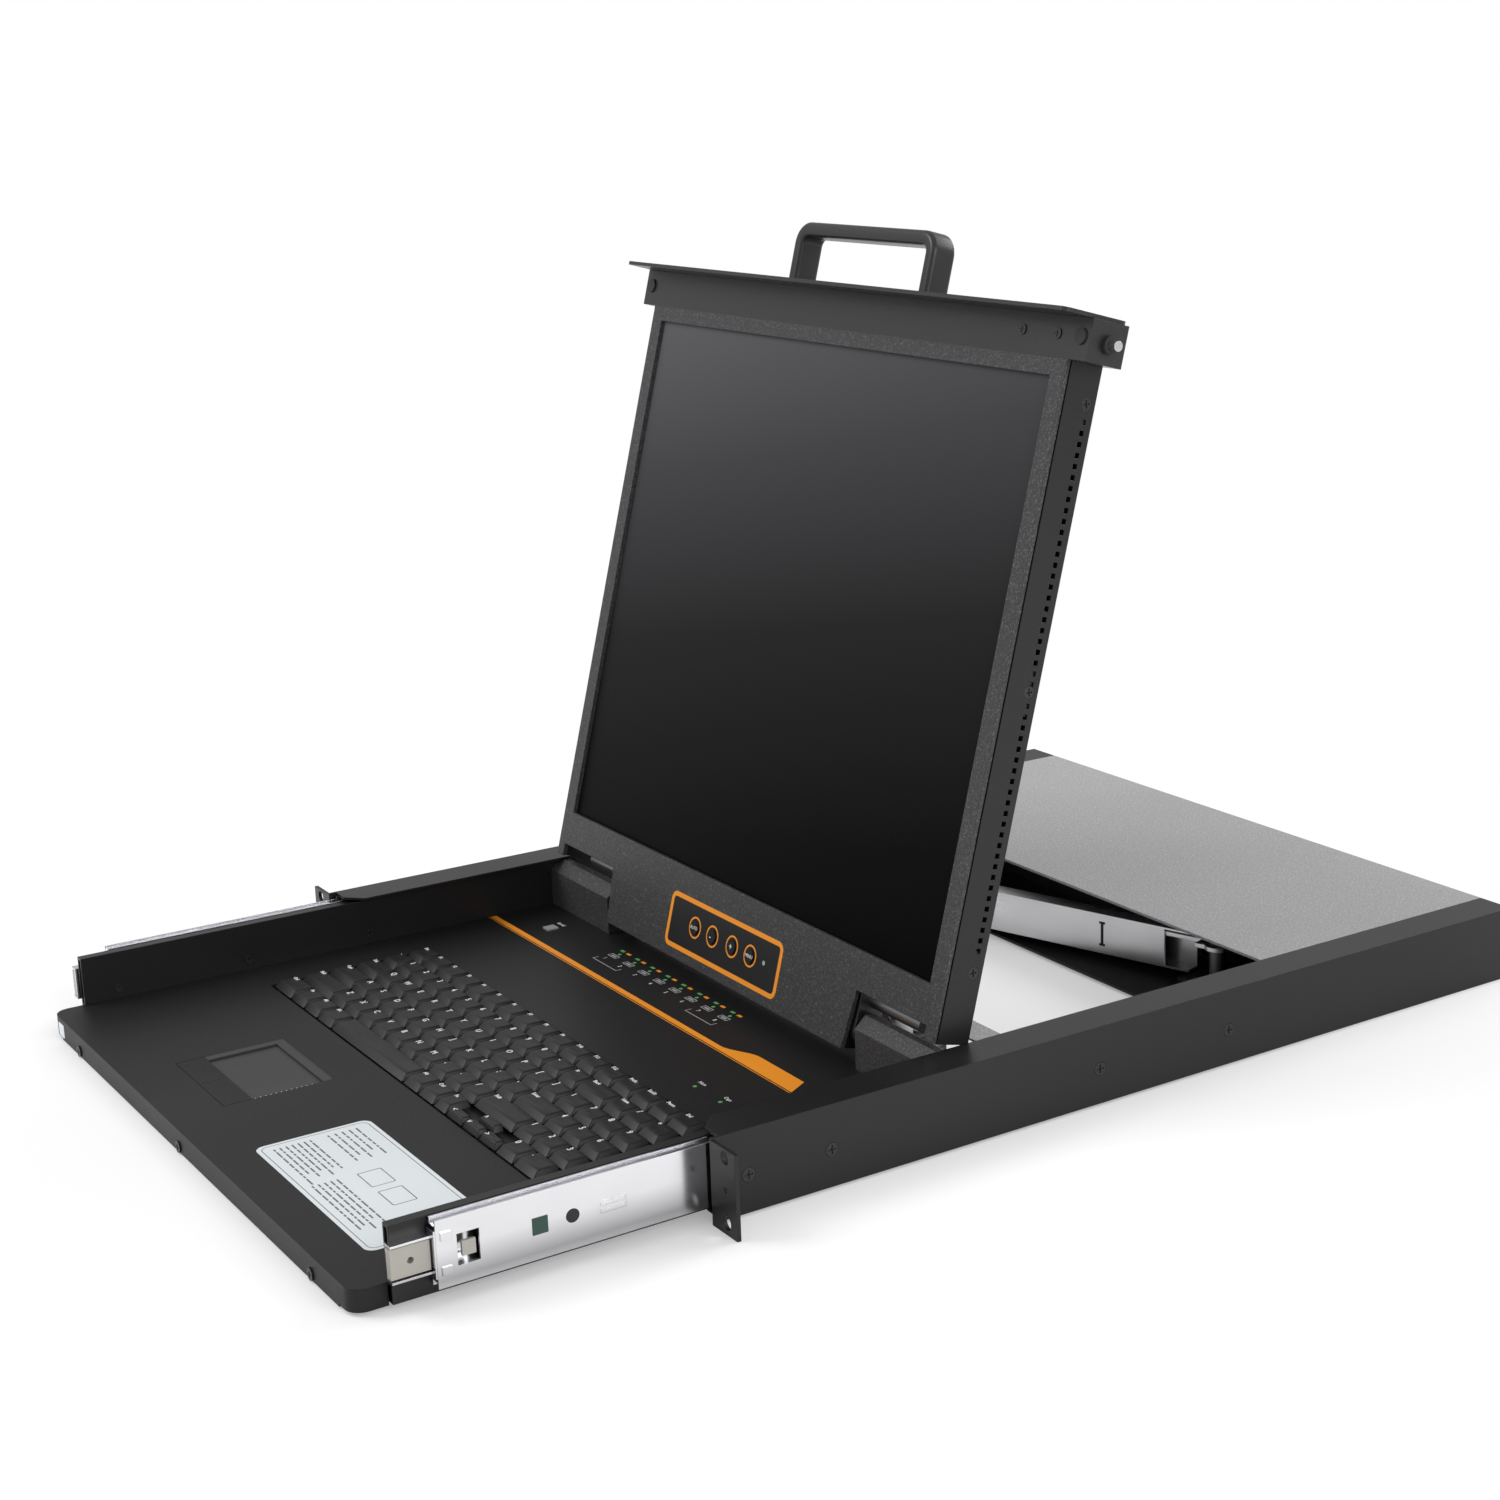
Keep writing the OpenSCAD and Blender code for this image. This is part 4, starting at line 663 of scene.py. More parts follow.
for row, boxes in key_solids.items():
    cap_row(f"key_caps_{row}", boxes, f"keys_{row}", f"key_row_{row}")
cap_row("space_cap", space_solid, "space_key", "space_bar")
print("key caps:", sum(len(boxes) for boxes in key_solids.values()) + len(space_solid))

# %% [markdown]
# The legends are printed at the back left of each cap. The front row also holds the arrow keys.
# Solids sort from left to right and then from front to back, so the down arrow comes just before
# the up arrow. A texture could carry the letters, but thin meshes of text stay sharp at any
# distance.

# %% Key legends
LEGENDS = {
    1: ["Ctrl", "Fn", "Alt", "Alt", "Alt", "Ctrl", "Fn", "<", "v", "^", ">", "0", "."],
    2: ["Shift"] + list("ZXCVBNM,./") + ["Shift", "1", "2", "3"],
    3: ["Caps"] + list("ASDFGHJKL;'") + ["Enter", "4", "5", "6"],
    4: ["Tab"] + list("QWERTYUIOP[]") + ["\\", "7", "8", "9"],
    5: ["`"] + list("1234567890-=") + ["Back", "Num", "/", "*"],
    6: ["Esc"] + [f"F{n}" for n in range(1, 13)] + ["PrtSc", "ScrLk", "Pause", "Del"],
}
LETTER = 4.9 * MM
WORD = 3.1 * MM
LEGEND_INSET = 2.1 * MM
LEGEND_DROP = 0.7 * MM
LEGEND_RISE = 0.75
LEGEND_THICK = 0.25 * MM
for row, texts in LEGENDS.items():
    items = []
    for text, (low, high) in zip(texts, key_solids[row]):
        size = LETTER if len(text) == 1 else WORD
        back = high.y - CAP_BACK_SHARE * (high.y - low.y) - LEGEND_DROP
        items.append((text, low.x + LEGEND_INSET, back - size * LEGEND_RISE, size))
    lift = Matrix.Translation((0, 0, key_solids[row][0][1].z - CAP_DISH / 2))
    words(
        f"key_legends_{row}", items, lift, white_print, f"keys_{row}", LEGEND_THICK
    )
print("legends:", sum(len(texts) for texts in LEGENDS.values()))

# %% [markdown]
# The deck carries screen prints: an orange band that swells to the right, with a fine line in
# front of it, and further on the marks beside the lights. A blank plate lies at the front, and a
# small blank sticker is on the front lip. All are made as paper-thin plates.

# %% Deck prints
deck_top = max(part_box(name)[1].z for name in ("front_corners", "touch_button_left"))
on_deck = Matrix.Translation((0, 0, deck_top))
PRINT = 0.06 * MM
BAND_LEFT, BAND_RISE, BAND_FULL, BAND_RIGHT = -206 * MM, 62 * MM, 88 * MM, 137 * MM
BAND_LOW, BAND_THIN, BAND_THICK, BAND_SLANT = 94.6 * MM, 3.6 * MM, 12 * MM, 7 * MM
BAND_STEPS = 12
LINE_LOW, LINE_HIGH = BAND_LOW - 1.3 * MM, BAND_LOW - 0.8 * MM
PLATE_BOX = (39 * MM, 175 * MM, -146 * MM, -88 * MM)
PLATE_ROUND = 5 * MM
STICKER_BOX = (-197 * MM, -188 * MM, -19.5 * MM, -12 * MM)
STICKER_ROUND = 0.6 * MM


def band_outline():
    """Thin to the left, then an S-curve up to a thick block with a slanted end."""
    rise = []
    for i in range(BAND_STEPS + 1):
        share = i / BAND_STEPS
        ease = share * share * (3 - 2 * share)
        x = BAND_RISE + (BAND_FULL - BAND_RISE) * share
        rise.append((x, BAND_LOW + BAND_THIN + (BAND_THICK - BAND_THIN) * ease))
    end = [(BAND_RIGHT - BAND_SLANT, BAND_LOW + BAND_THICK), (BAND_RIGHT, BAND_LOW)]
    return [(BAND_LEFT, BAND_LOW), (BAND_LEFT, BAND_LOW + BAND_THIN)] + rise + end


plate("deck_band", [band_outline()[::-1]], PRINT, on_deck, orange_print, "drawer")
edge_line = bar(BAND_LEFT, BAND_RIGHT, LINE_LOW, LINE_HIGH)
plate("deck_band_line", [edge_line], PRINT, on_deck, orange_print, "drawer")
blank = round_box(*PLATE_BOX, PLATE_ROUND)
plate("blank_plate", [blank], 2 * PRINT, on_deck, label_print, "drawer")
on_lip = Matrix.Translation((0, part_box("deck_tray")[0].y, 0)) @ stand_up
sticker = round_box(*STICKER_BOX, STICKER_ROUND)
plate("small_sticker", [sticker], 2 * PRINT, on_lip, label_print, "drawer")
print("deck's face at z, mm:", round(deck_top / MM, 2))

# %% [markdown]
# The plate stays blank, as this part names no maker. An outline, rows of short bars, two empty
# boxes and a ring keep the busy look that a printed plate has from a distance. The bars' lengths
# follow a small rule of remainders, which looks uneven and is the same in every run.

# %% Rules on the blank plate
RULE = 0.9 * MM
SHORTEST_BAR, BAR_GAP = 2.5, 1.2
OUTLINE_BOX = (41 * MM, 173 * MM, -144 * MM, -90 * MM)
# Left, right, lowest row, rows and pitch of each block, in millimetres.
TEXT_BLOCKS = ((46, 88, -139, 7, 3.0), (46, 80, -112, 5, 3.6), (96, 150, -140, 5, 3.0))
PLATE_RING = (160 * MM, -112 * MM, 6 * MM, 5.4 * MM)
EMPTY_BOXES = [(x * MM, (x + 18) * MM, -118 * MM, -106 * MM) for x in (96, 120)]


def ruled(left, right, low, count, pitch):
    """Rows of short bars with gaps, as far-off lines of print look."""
    bars = []
    for row in range(count):
        x = left
        step = 0
        while x < right - (row * 5) % 9:
            width = SHORTEST_BAR + (row * 7 + step * 5) % 6
            bars.append(bar(x * MM, (x + width) * MM, low * MM, low * MM + RULE))
            x += width + BAR_GAP
            step += 1
        low += pitch
    return bars


rules = framed(OUTLINE_BOX, 0.4 * MM, 4 * MM, 3.6 * MM)
for block in TEXT_BLOCKS:
    rules += ruled(*block)
for box in EMPTY_BOXES:
    rules += framed(box, 0.5 * MM, MM, 0.7 * MM)
rules += ring(*PLATE_RING)
plate("plate_rules", rules, 2.4 * PRINT, on_deck, rule_print, "drawer")
print("loops on the blank plate:", len(rules))

# %% [markdown]
# Eight port lights stand in a row behind the band, each with its number, a small socket sign and
# two coloured marks. Three lock lights stand in front of the band. The marks are bars placed by
# their offsets from a light, so one list serves all eight ports.

# %% Marks around the lights
LIGHT_PITCH = 17.7 * MM
FIRST_LIGHT = (-95.9 * MM, 124.2 * MM)
LOCK_LIGHT = (101 * MM, 60 * MM)
LOCK_PITCH = 25 * MM
LENS = 1.1 * MM
LENS_POINTS = 24
# Each mark's left, right, low and high side from its light, in millimetres.
GREEN_MARK = (-6, -2, 3.4, 5.2)
ORANGE_MARK = (1, 5, 3.4, 5.2)
SOCKET_SIGN = ((-4.5, 4.5, -5.6, -2), (-4, 4, -5.1, -2.5), (-2.6, 2.6, -4.4, -3.2))
NUMBER_LEFT, NUMBER_DOWN, NUMBER_SIZE = 1.2 * MM, 10.5 * MM, 3.6 * MM
NAME_LEFT, NAME_UP, NAME_SIZE = 4 * MM, 4 * MM, 3.2 * MM
BANK_NAME_AT = (-169 * MM, 121 * MM)


def near(x, y, offsets):
    left, right, low, high = (offset * MM for offset in offsets)
    return bar(x + left, x + right, y + low, y + high)


numbers = []
green_marks = []
orange_marks = []
signs = []
lenses = []
for i in range(8):
    x, y = FIRST_LIGHT[0] + i * LIGHT_PITCH, FIRST_LIGHT[1]
    numbers.append((str(i + 1), x - NUMBER_LEFT, y - NUMBER_DOWN, NUMBER_SIZE))
    green_marks.append(near(x, y, GREEN_MARK))
    orange_marks.append(near(x, y, ORANGE_MARK))
    signs += [near(x, y, offsets) for offsets in SOCKET_SIGN]
    lenses.append(circle(x, y, LENS, LENS_POINTS))
words("port_numbers", numbers, on_deck, white_print, "drawer")
plate("port_marks", green_marks, PRINT, on_deck, green_print, "drawer")
plate("port_warm_marks", orange_marks, PRINT, on_deck, orange_print, "drawer")
plate("port_icons", signs, PRINT, on_deck, dim_print, "drawer")
names = []
for i, text in enumerate(("Num", "Caps", "Scroll")):
    x, y = LOCK_LIGHT[0] + i * LOCK_PITCH, LOCK_LIGHT[1]
    lenses.append(circle(x, y, LENS, LENS_POINTS))
    names.append((text, x - NAME_LEFT, y + NAME_UP, NAME_SIZE))
names.append(("BANK", *BANK_NAME_AT, NAME_SIZE))
plate("light_lenses", lenses, 3 * PRINT, on_deck, green_print, "drawer")
words("deck_names", names, on_deck, white_print, "drawer")
print("lights marked:", len(lenses))

# %% Brackets under the lights
BRACKET = 0.5 * MM
BRACKET_REACH, BRACKET_DOWN, BRACKET_TALL = 5 * MM, 15 * MM, 4 * MM
brackets = []
for first in (0, 6):
    x0 = FIRST_LIGHT[0] + first * LIGHT_PITCH - BRACKET_REACH
    x1 = x0 + LIGHT_PITCH + 2 * BRACKET_REACH
    y0 = FIRST_LIGHT[1] - BRACKET_DOWN
    y1 = y0 + BRACKET_TALL
    brackets.append([
        (x0, y0), (x1, y0), (x1, y1), (x1 - BRACKET, y1), (x1 - BRACKET, y0 + BRACKET),
        (x0 + BRACKET, y0 + BRACKET), (x0 + BRACKET, y1), (x0, y1),
    ])
plate("light_brackets", brackets, PRINT, on_deck, dim_print, "drawer")
print("brackets:", len(brackets))

# %% [markdown]
# The touchpad is sunk into the deck, with two button plates in front. A bevelled band runs along
# its left side and its back, and fine ticks mark its right edge. The band is one closed strip,
# whose inner line lies lower than its outer line. The pad itself is flat in the CAD and stays as
# it is.

# %% Touchpad rim and ticks
pad_low, pad_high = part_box("touchpad")
PAD_SEAM = pad_low.y + 15 * MM
PAD_BAND = 5.5 * MM
PAD_SINK = 1.2 * MM
RIM_INSET = 0.6 * MM
RIM_PROUD = 0.05 * MM
RIM_EDGE = 0.1 * MM
TICKS, FIRST_TICK, TICK_PITCH, TICK_THICK = 12, 2, 2.7, 0.4 * MM
TICK_FROM, TICK_TO = 3 * MM, 0.8 * MM


def pad_line(inset):
    left, back = pad_low.x + inset, pad_high.y - inset
    return [(left, PAD_SEAM), (left, back), (pad_high.x, back)]


rim = bmesh.new()
outer, inner = pad_line(RIM_INSET), pad_line(PAD_BAND)
top = [rim.verts.new((x, y, deck_top + RIM_PROUD)) for x, y in outer]
low = [rim.verts.new((x, y, deck_top - PAD_SINK + RIM_EDGE)) for x, y in inner]
under = [rim.verts.new((x, y, deck_top - PAD_SINK - RIM_EDGE)) for x, y in inner]
foot = [rim.verts.new((x, y, deck_top - PAD_SINK - RIM_EDGE)) for x, y in outer]
for a, b in ((top, low), (low, under), (under, foot), (foot, top)):
    for i in (0, 1):
        rim.faces.new((a[i], a[i + 1], b[i + 1], b[i]))
for i in (0, 2):
    rim.faces.new((top[i], low[i], under[i], foot[i]))
from_bmesh("pad_rim", rim, black_plastic, "drawer")
ticks = []
for i in range(TICKS):
    y = PAD_SEAM + (FIRST_TICK + TICK_PITCH * i) * MM
    ticks.append(bar(pad_high.x - TICK_FROM, pad_high.x - TICK_TO, y, y + TICK_THICK))
on_pad = Matrix.Translation((0, 0, deck_top - PAD_SINK))
plate("pad_ticks", ticks, PRINT, on_pad, white_print, "drawer")
print("ticks on the touchpad:", len(ticks))

# %% [markdown]
# A control panel sits in the skirt under the screen: a dark overlay with an orange frame, and an
# orange ring around each of the four buttons. All are thin plates filled from closed curves,
# because a filled curve leaves its holes open by itself. The legends on the buttons ride on the
# buttons.

# %% Control panel
PANEL = (-59 * MM, 59 * MM, -46.5 * MM, -15 * MM)
PANEL_LINE = 2.7 * MM
PANEL_ROUND = 5 * MM
BUTTON_Z = -30 * MM
BUTTON_X = [centre(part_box(f"osd_button_{i}")).x for i in range(1, 5)]
BUTTON_HOLE = 4.15 * MM
RING_OUTER, RING_INNER = 6.2 * MM, 5.2 * MM
BUTTON_LIFT = MM
WORD_ON_BUTTON, SIGN_ON_BUTTON = 2.7 * MM, 5.5 * MM
HALF_LETTER, HALF_SIGN, HALF_TALL = 0.33, 0.3, 0.33
POWER_LIGHT_X, POWER_LIGHT = 43 * MM, 1.3 * MM
panel_loops = framed(PANEL, PANEL_LINE, PANEL_ROUND, PANEL_ROUND - PANEL_LINE)
plate("panel_frame", panel_loops, 2 * PRINT, upright, orange_print, "display")
overlay = [panel_loops[1]] + [circle(x, BUTTON_Z, BUTTON_HOLE) for x in BUTTON_X]
plate("panel_overlay", overlay, PRINT, upright, key_plastic, "display")
rings = [loop for x in BUTTON_X for loop in ring(x, BUTTON_Z, RING_OUTER, RING_INNER)]
plate("button_rings", rings, 2 * PRINT, upright, orange_print, "display")
on_button = upright @ Matrix.Translation((0, 0, BUTTON_LIFT))
for i, text in enumerate(("AUTO", "-", "+", "MENU")):
    if len(text) > 1:
        size = WORD_ON_BUTTON
        x = BUTTON_X[i] - HALF_LETTER * size * len(text)
    else:
        size = SIGN_ON_BUTTON
        x = BUTTON_X[i] - HALF_SIGN * size
    legend = [(text, x, BUTTON_Z - HALF_TALL * size, size)]
    body = f"menu_button_{i + 1}"
    words(f"button_legend_{i + 1}", legend, on_button, white_print, body)
power_light = [circle(POWER_LIGHT_X, BUTTON_Z, POWER_LIGHT, LENS_POINTS)]
plate("power_light", power_light, 2 * PRINT, upright, dim_print, "display")
print("buttons on the panel:", len(BUTTON_X))

# %% [markdown]
# The carrying handle is a flat bar bent twice. Sweeping a rounded section along a path of two
# straight legs, two quarter turns and a straight top gives its soft edges, where the CAD has
# square ones.

# %% Carrying handle
handle_box = solids("handle", on_display)[0]
HANDLE_ROUND = 12 * MM
BAR_TALL = 8 * MM
BAR_DEEP = handle_box[1].y - handle_box[0].y
BAR_EDGE = 2.6 * MM
BAR_LEG = 6 * MM
BEND_STEPS = 10


def sweep(shape, path, section, place):
    """Sweeps a closed section along a path in the x-z plane; the section is (across, depth)."""
    loops = []
    for i, (x, z) in enumerate(path):
        before = Vector(path[max(i - 1, 0)])
        after = Vector(path[min(i + 1, len(path) - 1)])
        along = (after - before).normalized()
        side = Vector((-along.y, along.x))
        spots = [Vector((x + side.x * a, d, z + side.y * a)) for a, d in section]
        loops.append([shape.verts.new(place @ spot) for spot in spots])
    for first, second in zip(loops, loops[1:]):
        for i in range(len(section)):
            j = (i + 1) % len(section)
            shape.faces.new((first[i], first[j], second[j], second[i]))
    shape.faces.new(loops[0][::-1])
    shape.faces.new(loops[-1])


half = handle_box[1].x - BAR_TALL / 2
foot_z = handle_box[0].z
top_z = handle_box[1].z - BAR_TALL / 2
bend = HANDLE_ROUND - BAR_TALL / 2
path = [(-half, foot_z), (-half, foot_z + BAR_LEG)]
path += arc(-half + bend, top_z - bend, bend, 180, 90, BEND_STEPS)
path += arc(half - bend, top_z - bend, bend, 90, 0, BEND_STEPS)
path += [(half, foot_z + BAR_LEG), (half, foot_z)]
middle_y = centre(handle_box).y
profile = round_box(-BAR_TALL / 2, BAR_TALL / 2, -BAR_DEEP / 2, BAR_DEEP / 2, BAR_EDGE)
section = [(a, middle_y + d) for a, d in profile]
handle_shape = bmesh.new()
sweep(handle_shape, path, section, on_display)
from_bmesh("bent_handle", handle_shape, plate_coat, "display", ["handle"], smooth=35)
print("handle bar, mm:", round(BAR_TALL / MM, 1), "by", round(BAR_DEEP / MM, 1))

# %% [markdown]
# Screws repeat over the whole case, so Geometry Nodes places them. The tree makes one head, a low
# disc with a cross cut into it, puts a copy on every point and turns it to that point's facing.
# Its inputs are the head's radius, height and cross, and it ends in Realize Instances and Set
# Material.

# %% A tree that places screws
HEAD_INPUTS = ("Head radius", "Head height", "Cross width")
HEAD_SIDES = 20
CROSS_LENGTH = 1.3


def screw_tree(finish):
    tree = bpy.data.node_groups.new("cross_head_screws", "GeometryNodeTree")
    face = tree.interface
    face.new_socket("Geometry", in_out="INPUT", socket_type="NodeSocketGeometry")
    face.new_socket("Geometry", in_out="OUTPUT", socket_type="NodeSocketGeometry")
    for size_name in HEAD_INPUTS:
        face.new_socket(size_name, in_out="INPUT", socket_type="NodeSocketFloat")

    def add(kind, links=None, **settings):
        made = tree.nodes.new(kind)
        for key, value in settings.items():
            setattr(made, key, value)
        for key, value in (links or {}).items():
            if hasattr(value, "is_output"):
                tree.links.new(value, made.inputs[key])
            else:
                made.inputs[key].default_value = value
        return made

    start = add("NodeGroupInput").outputs
    radius, height, width = (start[size_name] for size_name in HEAD_INPUTS)
    disc = {"Vertices": HEAD_SIDES, "Radius": radius, "Depth": height}
    head = add("GeometryNodeMeshCylinder", disc)
    long = add("ShaderNodeMath", {0: radius, 1: CROSS_LENGTH}, operation="MULTIPLY").outputs[0]
    cross = add("GeometryNodeMeshBoolean", operation="UNION")
    for across, along in ((long, width), (width, long)):
        size = add("ShaderNodeCombineXYZ", {"X": across, "Y": along, "Z": height})
        arm = add("GeometryNodeMeshCube", {"Size": size.outputs[0]})
        tree.links.new(arm.outputs["Mesh"], cross.inputs["Mesh 2"])
    lift = add("ShaderNodeCombineXYZ", {"Z": height}).outputs[0]
    half_lift = add("ShaderNodeVectorMath", {0: lift, 1: (0.5, 0.5, 0.5)}, operation="MULTIPLY")
    raised_cross = add(
        "GeometryNodeTransform", {"Geometry": cross.outputs["Mesh"], "Translation": lift}
    )
    raised_head = add(
        "GeometryNodeTransform",
        {"Geometry": head.outputs["Mesh"], "Translation": half_lift.outputs[0]},
    )
    cut = add("GeometryNodeMeshBoolean", {"Mesh 1": raised_head.outputs[0]}, operation="DIFFERENCE")
    tree.links.new(raised_cross.outputs[0], cut.inputs["Mesh 2"])
    facing = add("GeometryNodeInputNamedAttribute", {"Name": "facing"}, data_type="FLOAT_VECTOR")
    turn_to = add("FunctionNodeAlignRotationToVector", {"Vector": facing.outputs[0]}, axis="Z")
    placed = add(
        "GeometryNodeInstanceOnPoints",
        {
            "Points": start["Geometry"],
            "Instance": cut.outputs["Mesh"],
            "Rotation": turn_to.outputs[0],
        },
    )
    real = add("GeometryNodeRealizeInstances", {"Geometry": placed.outputs[0]})
    painted = add("GeometryNodeSetMaterial", {"Geometry": real.outputs[0], "Material": finish})
    end = add("NodeGroupOutput")
    tree.links.new(painted.outputs[0], end.inputs[0])
    return tree


screws_by_nodes = screw_tree(screw_steel)


# %% [markdown]
# A mesh with one vertex for each screw carries the places, and an attribute carries each screw's
# facing. The modifier's inputs are set by their identifiers before the object is first evaluated.
# The result is kept as a plain mesh, one for each call, and then the modifier and its object go.

# %% Run the tree for one body
def screws(name, points, head, body, stands_for=()):
    """points is a list of (place, facing), and head has a size for each of HEAD_INPUTS."""
    mesh = bpy.data.meshes.new(name)
    mesh.from_pydata([place for place, _ in points], [], [])
    facing = mesh.attributes.new("facing", "FLOAT_VECTOR", "POINT")
    for item, (_, way) in zip(facing.data, points):
        item.vector = way
    holder = bpy.data.objects.new(name, mesh)
    bpy.context.scene.collection.objects.link(holder)
    modifier = holder.modifiers.new("screws", "NODES")
    modifier.node_group = screws_by_nodes
    sizes = dict(zip(HEAD_INPUTS, head))
    for item in screws_by_nodes.interface.items_tree:
        if item.in_out == "INPUT" and item.name in sizes:
            modifier[item.identifier] = sizes[item.name]
    seen = holder.evaluated_get(bpy.context.evaluated_depsgraph_get())
    made = bpy.data.meshes.new_from_object(seen)
    holder.modifiers.remove(modifier)
    bpy.data.objects.remove(holder)
    print(name, "screws:", len(points), "faces:", len(made.polygons))
    finish_piece(name, made, screw_steel, body, stands_for)


# %% [markdown]
# The CAD holds each screw as a plain disc, so its box gives the new head's place. Screws on the
# sides of the case and of the display face out, those on the drawer walls face in, and those on
# the lip and the cap face forward. Heads that would stand too far out are sunk by about their own
# height, so that they stand where the disc stood.

# %% Screws on the case, the drawer and the display
LEFT, RIGHT, FORWARD = Vector((-1, 0, 0)), Vector((1, 0, 0)), Vector((0, -1, 0))
# Head radius, head height and cross width.
CASE_HEAD = (3.4 * MM, 0.95 * MM, 0.9 * MM)
LIP_HEAD = (3 * MM, 0.8 * MM, 0.8 * MM)
WALL_HEAD = (2.5 * MM, 0.4 * MM, 0.7 * MM)
BEZEL_HEAD = (3 * MM, 1.2 * MM, 0.8 * MM)
CAP_HEAD = (2.7 * MM, 0.6 * MM, 0.7 * MM)
CASE_SINK, LIP_SINK, BEZEL_SINK = 0.9 * MM, 0.8 * MM, 1.2 * MM
LIP_BEFORE = -160 * MM
FRONT_FACE = -0.1 * MM


def outer_end(low, high, sink=0.0):
    """The outer end of a sideways screw, sunk by a depth, and the way out."""
    middle = centre((low, high))
    outward, end = (RIGHT, high.x) if middle.x > 0 else (LEFT, low.x)
    return Vector((end, middle.y, middle.z)) - outward * sink, outward


case_points = [outer_end(low, high, CASE_SINK) for low, high in solids("chassis_screws")]
screws("case_screws", case_points, CASE_HEAD, "chassis", ["chassis_screws"])
lip_points = []
wall_points = []
for low, high in solids("drawer_screws"):
    middle = centre((low, high))
    if middle.y < LIP_BEFORE:
        lip_points.append((Vector((middle.x, low.y + LIP_SINK, middle.z)), FORWARD))
    else:
        place, outward = outer_end(low, high)
        wall_points.append((place, -outward))
screws("lip_screws", lip_points, LIP_HEAD, "drawer", ["drawer_screws"])
screws("wall_screws", wall_points, WALL_HEAD, "drawer")
side_points = []
cap_points = []
display_forward = on_display.to_3x3() @ FORWARD
for low, high in solids("display_screws", on_display):
    if low.y < FRONT_FACE:
        middle = centre((low, high))
        cap_points.append((on_display @ Vector((middle.x, 0, middle.z)), display_forward))
    else:
        place, outward = outer_end(low, high, BEZEL_SINK)
        side_points.append((on_display @ place, outward))
screws("bezel_screws", side_points, BEZEL_HEAD, "display", ["display_screws"])
screws("cap_screws", cap_points, CAP_HEAD, "display")

# %% [markdown]
# The front end of each middle slide carries small pressed details: a bent end, two tabs, a raised
# plate with two ribs, a nylon block, a green stop and a dark round hole. The hole is not cut: a
# short black rod set in the web paints the shade inside it. Each other detail is a small block,
# written as its three spans. The left slide has the same pieces, mirrored, and they all ride on the
# middle slides.

# %% Slide front details
slide_low, slide_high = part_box("middle_slides")
web = slide_high.x
slide_z = centre((slide_low, slide_high)).z
END = slide_low.y / MM
# From the web's face, along the slide, and from the middle of its height, in millimetres.
BENT_END = ((-7, 0), (END - 0.9, END), (-11, 11))
UPPER_TAB = ((-0.1, 1), (END + 2, END + 7), (6, 10))
LOWER_TAB = ((-0.1, 1), (END + 2, END + 7), (-10, -6))
RAISED_PLATE = ((-0.9, 0.1), (-56, -42), (-3.2, 3.2))
UPPER_RIB = ((0, 0.6), (-55, -43), (0.8, 2.6))
LOWER_RIB = ((0, 0.6), (-55, -43), (-2.6, -0.8))
PRESSED = (BENT_END, UPPER_TAB, LOWER_TAB, RAISED_PLATE, UPPER_RIB, LOWER_RIB)
NYLON_BLOCK = ((-1.4, 0.3), (-121, -114.5), (-3.5, 3.5))
GREEN_STOP = ((-1, 0.4), (-88, -80.5), (-4, 4))
HOLE_Y, HOLE_RADIUS, HOLE_DEEP, HOLE_IN = -68.5 * MM, 3.3 * MM, 1.2 * MM, 0.55 * MM
BLOCK_EDGE = 0.25 * MM
sideways = Matrix.Rotation(math.radians(90), 4, "Y")


def web_block(shape, spans, flip):
    origin = Vector((web, 0, slide_z))
    low = origin + Vector([start for start, _ in spans]) * MM
    high = origin + Vector([end for _, end in spans]) * MM
    add_block(shape, low, high, BLOCK_EDGE, flip)


bent = bmesh.new()
blocks = bmesh.new()
stops = bmesh.new()
hole_shades = bmesh.new()
for side in (-1, 1):
    flip = Matrix.Scale(side, 4, (1, 0, 0))
    for spans in PRESSED:
        web_block(bent, spans, flip)
    web_block(blocks, NYLON_BLOCK, flip)
    web_block(stops, GREEN_STOP, flip)
    # A short black rod in the web is painted shade standing for the hole's dark inside.
    add_rod(
        hole_shades, HOLE_RADIUS, HOLE_DEEP, 28,
        flip @ Matrix.Translation((web - HOLE_IN, HOLE_Y, slide_z)) @ sideways,
    )
from_bmesh("slide_ends", bent, slide_zinc, "middle_slide_pair")
from_bmesh("slide_blocks", blocks, nylon, "middle_slide_pair")
from_bmesh("slide_hole_shades", hole_shades, rubber, "middle_slide_pair")
from_bmesh("slide_stops", stops, stop_plastic, "middle_slide_pair")
print("pressed details on each slide:", len(PRESSED))

# %% [markdown]
# The cable arm's cover has one dark slot shaped like a tall letter I. The slot is not cut: a thin
# black plate on the face paints the shade inside it. It lies on the rear link's face, so its frame is
# the link's: along the link, and out of its face.

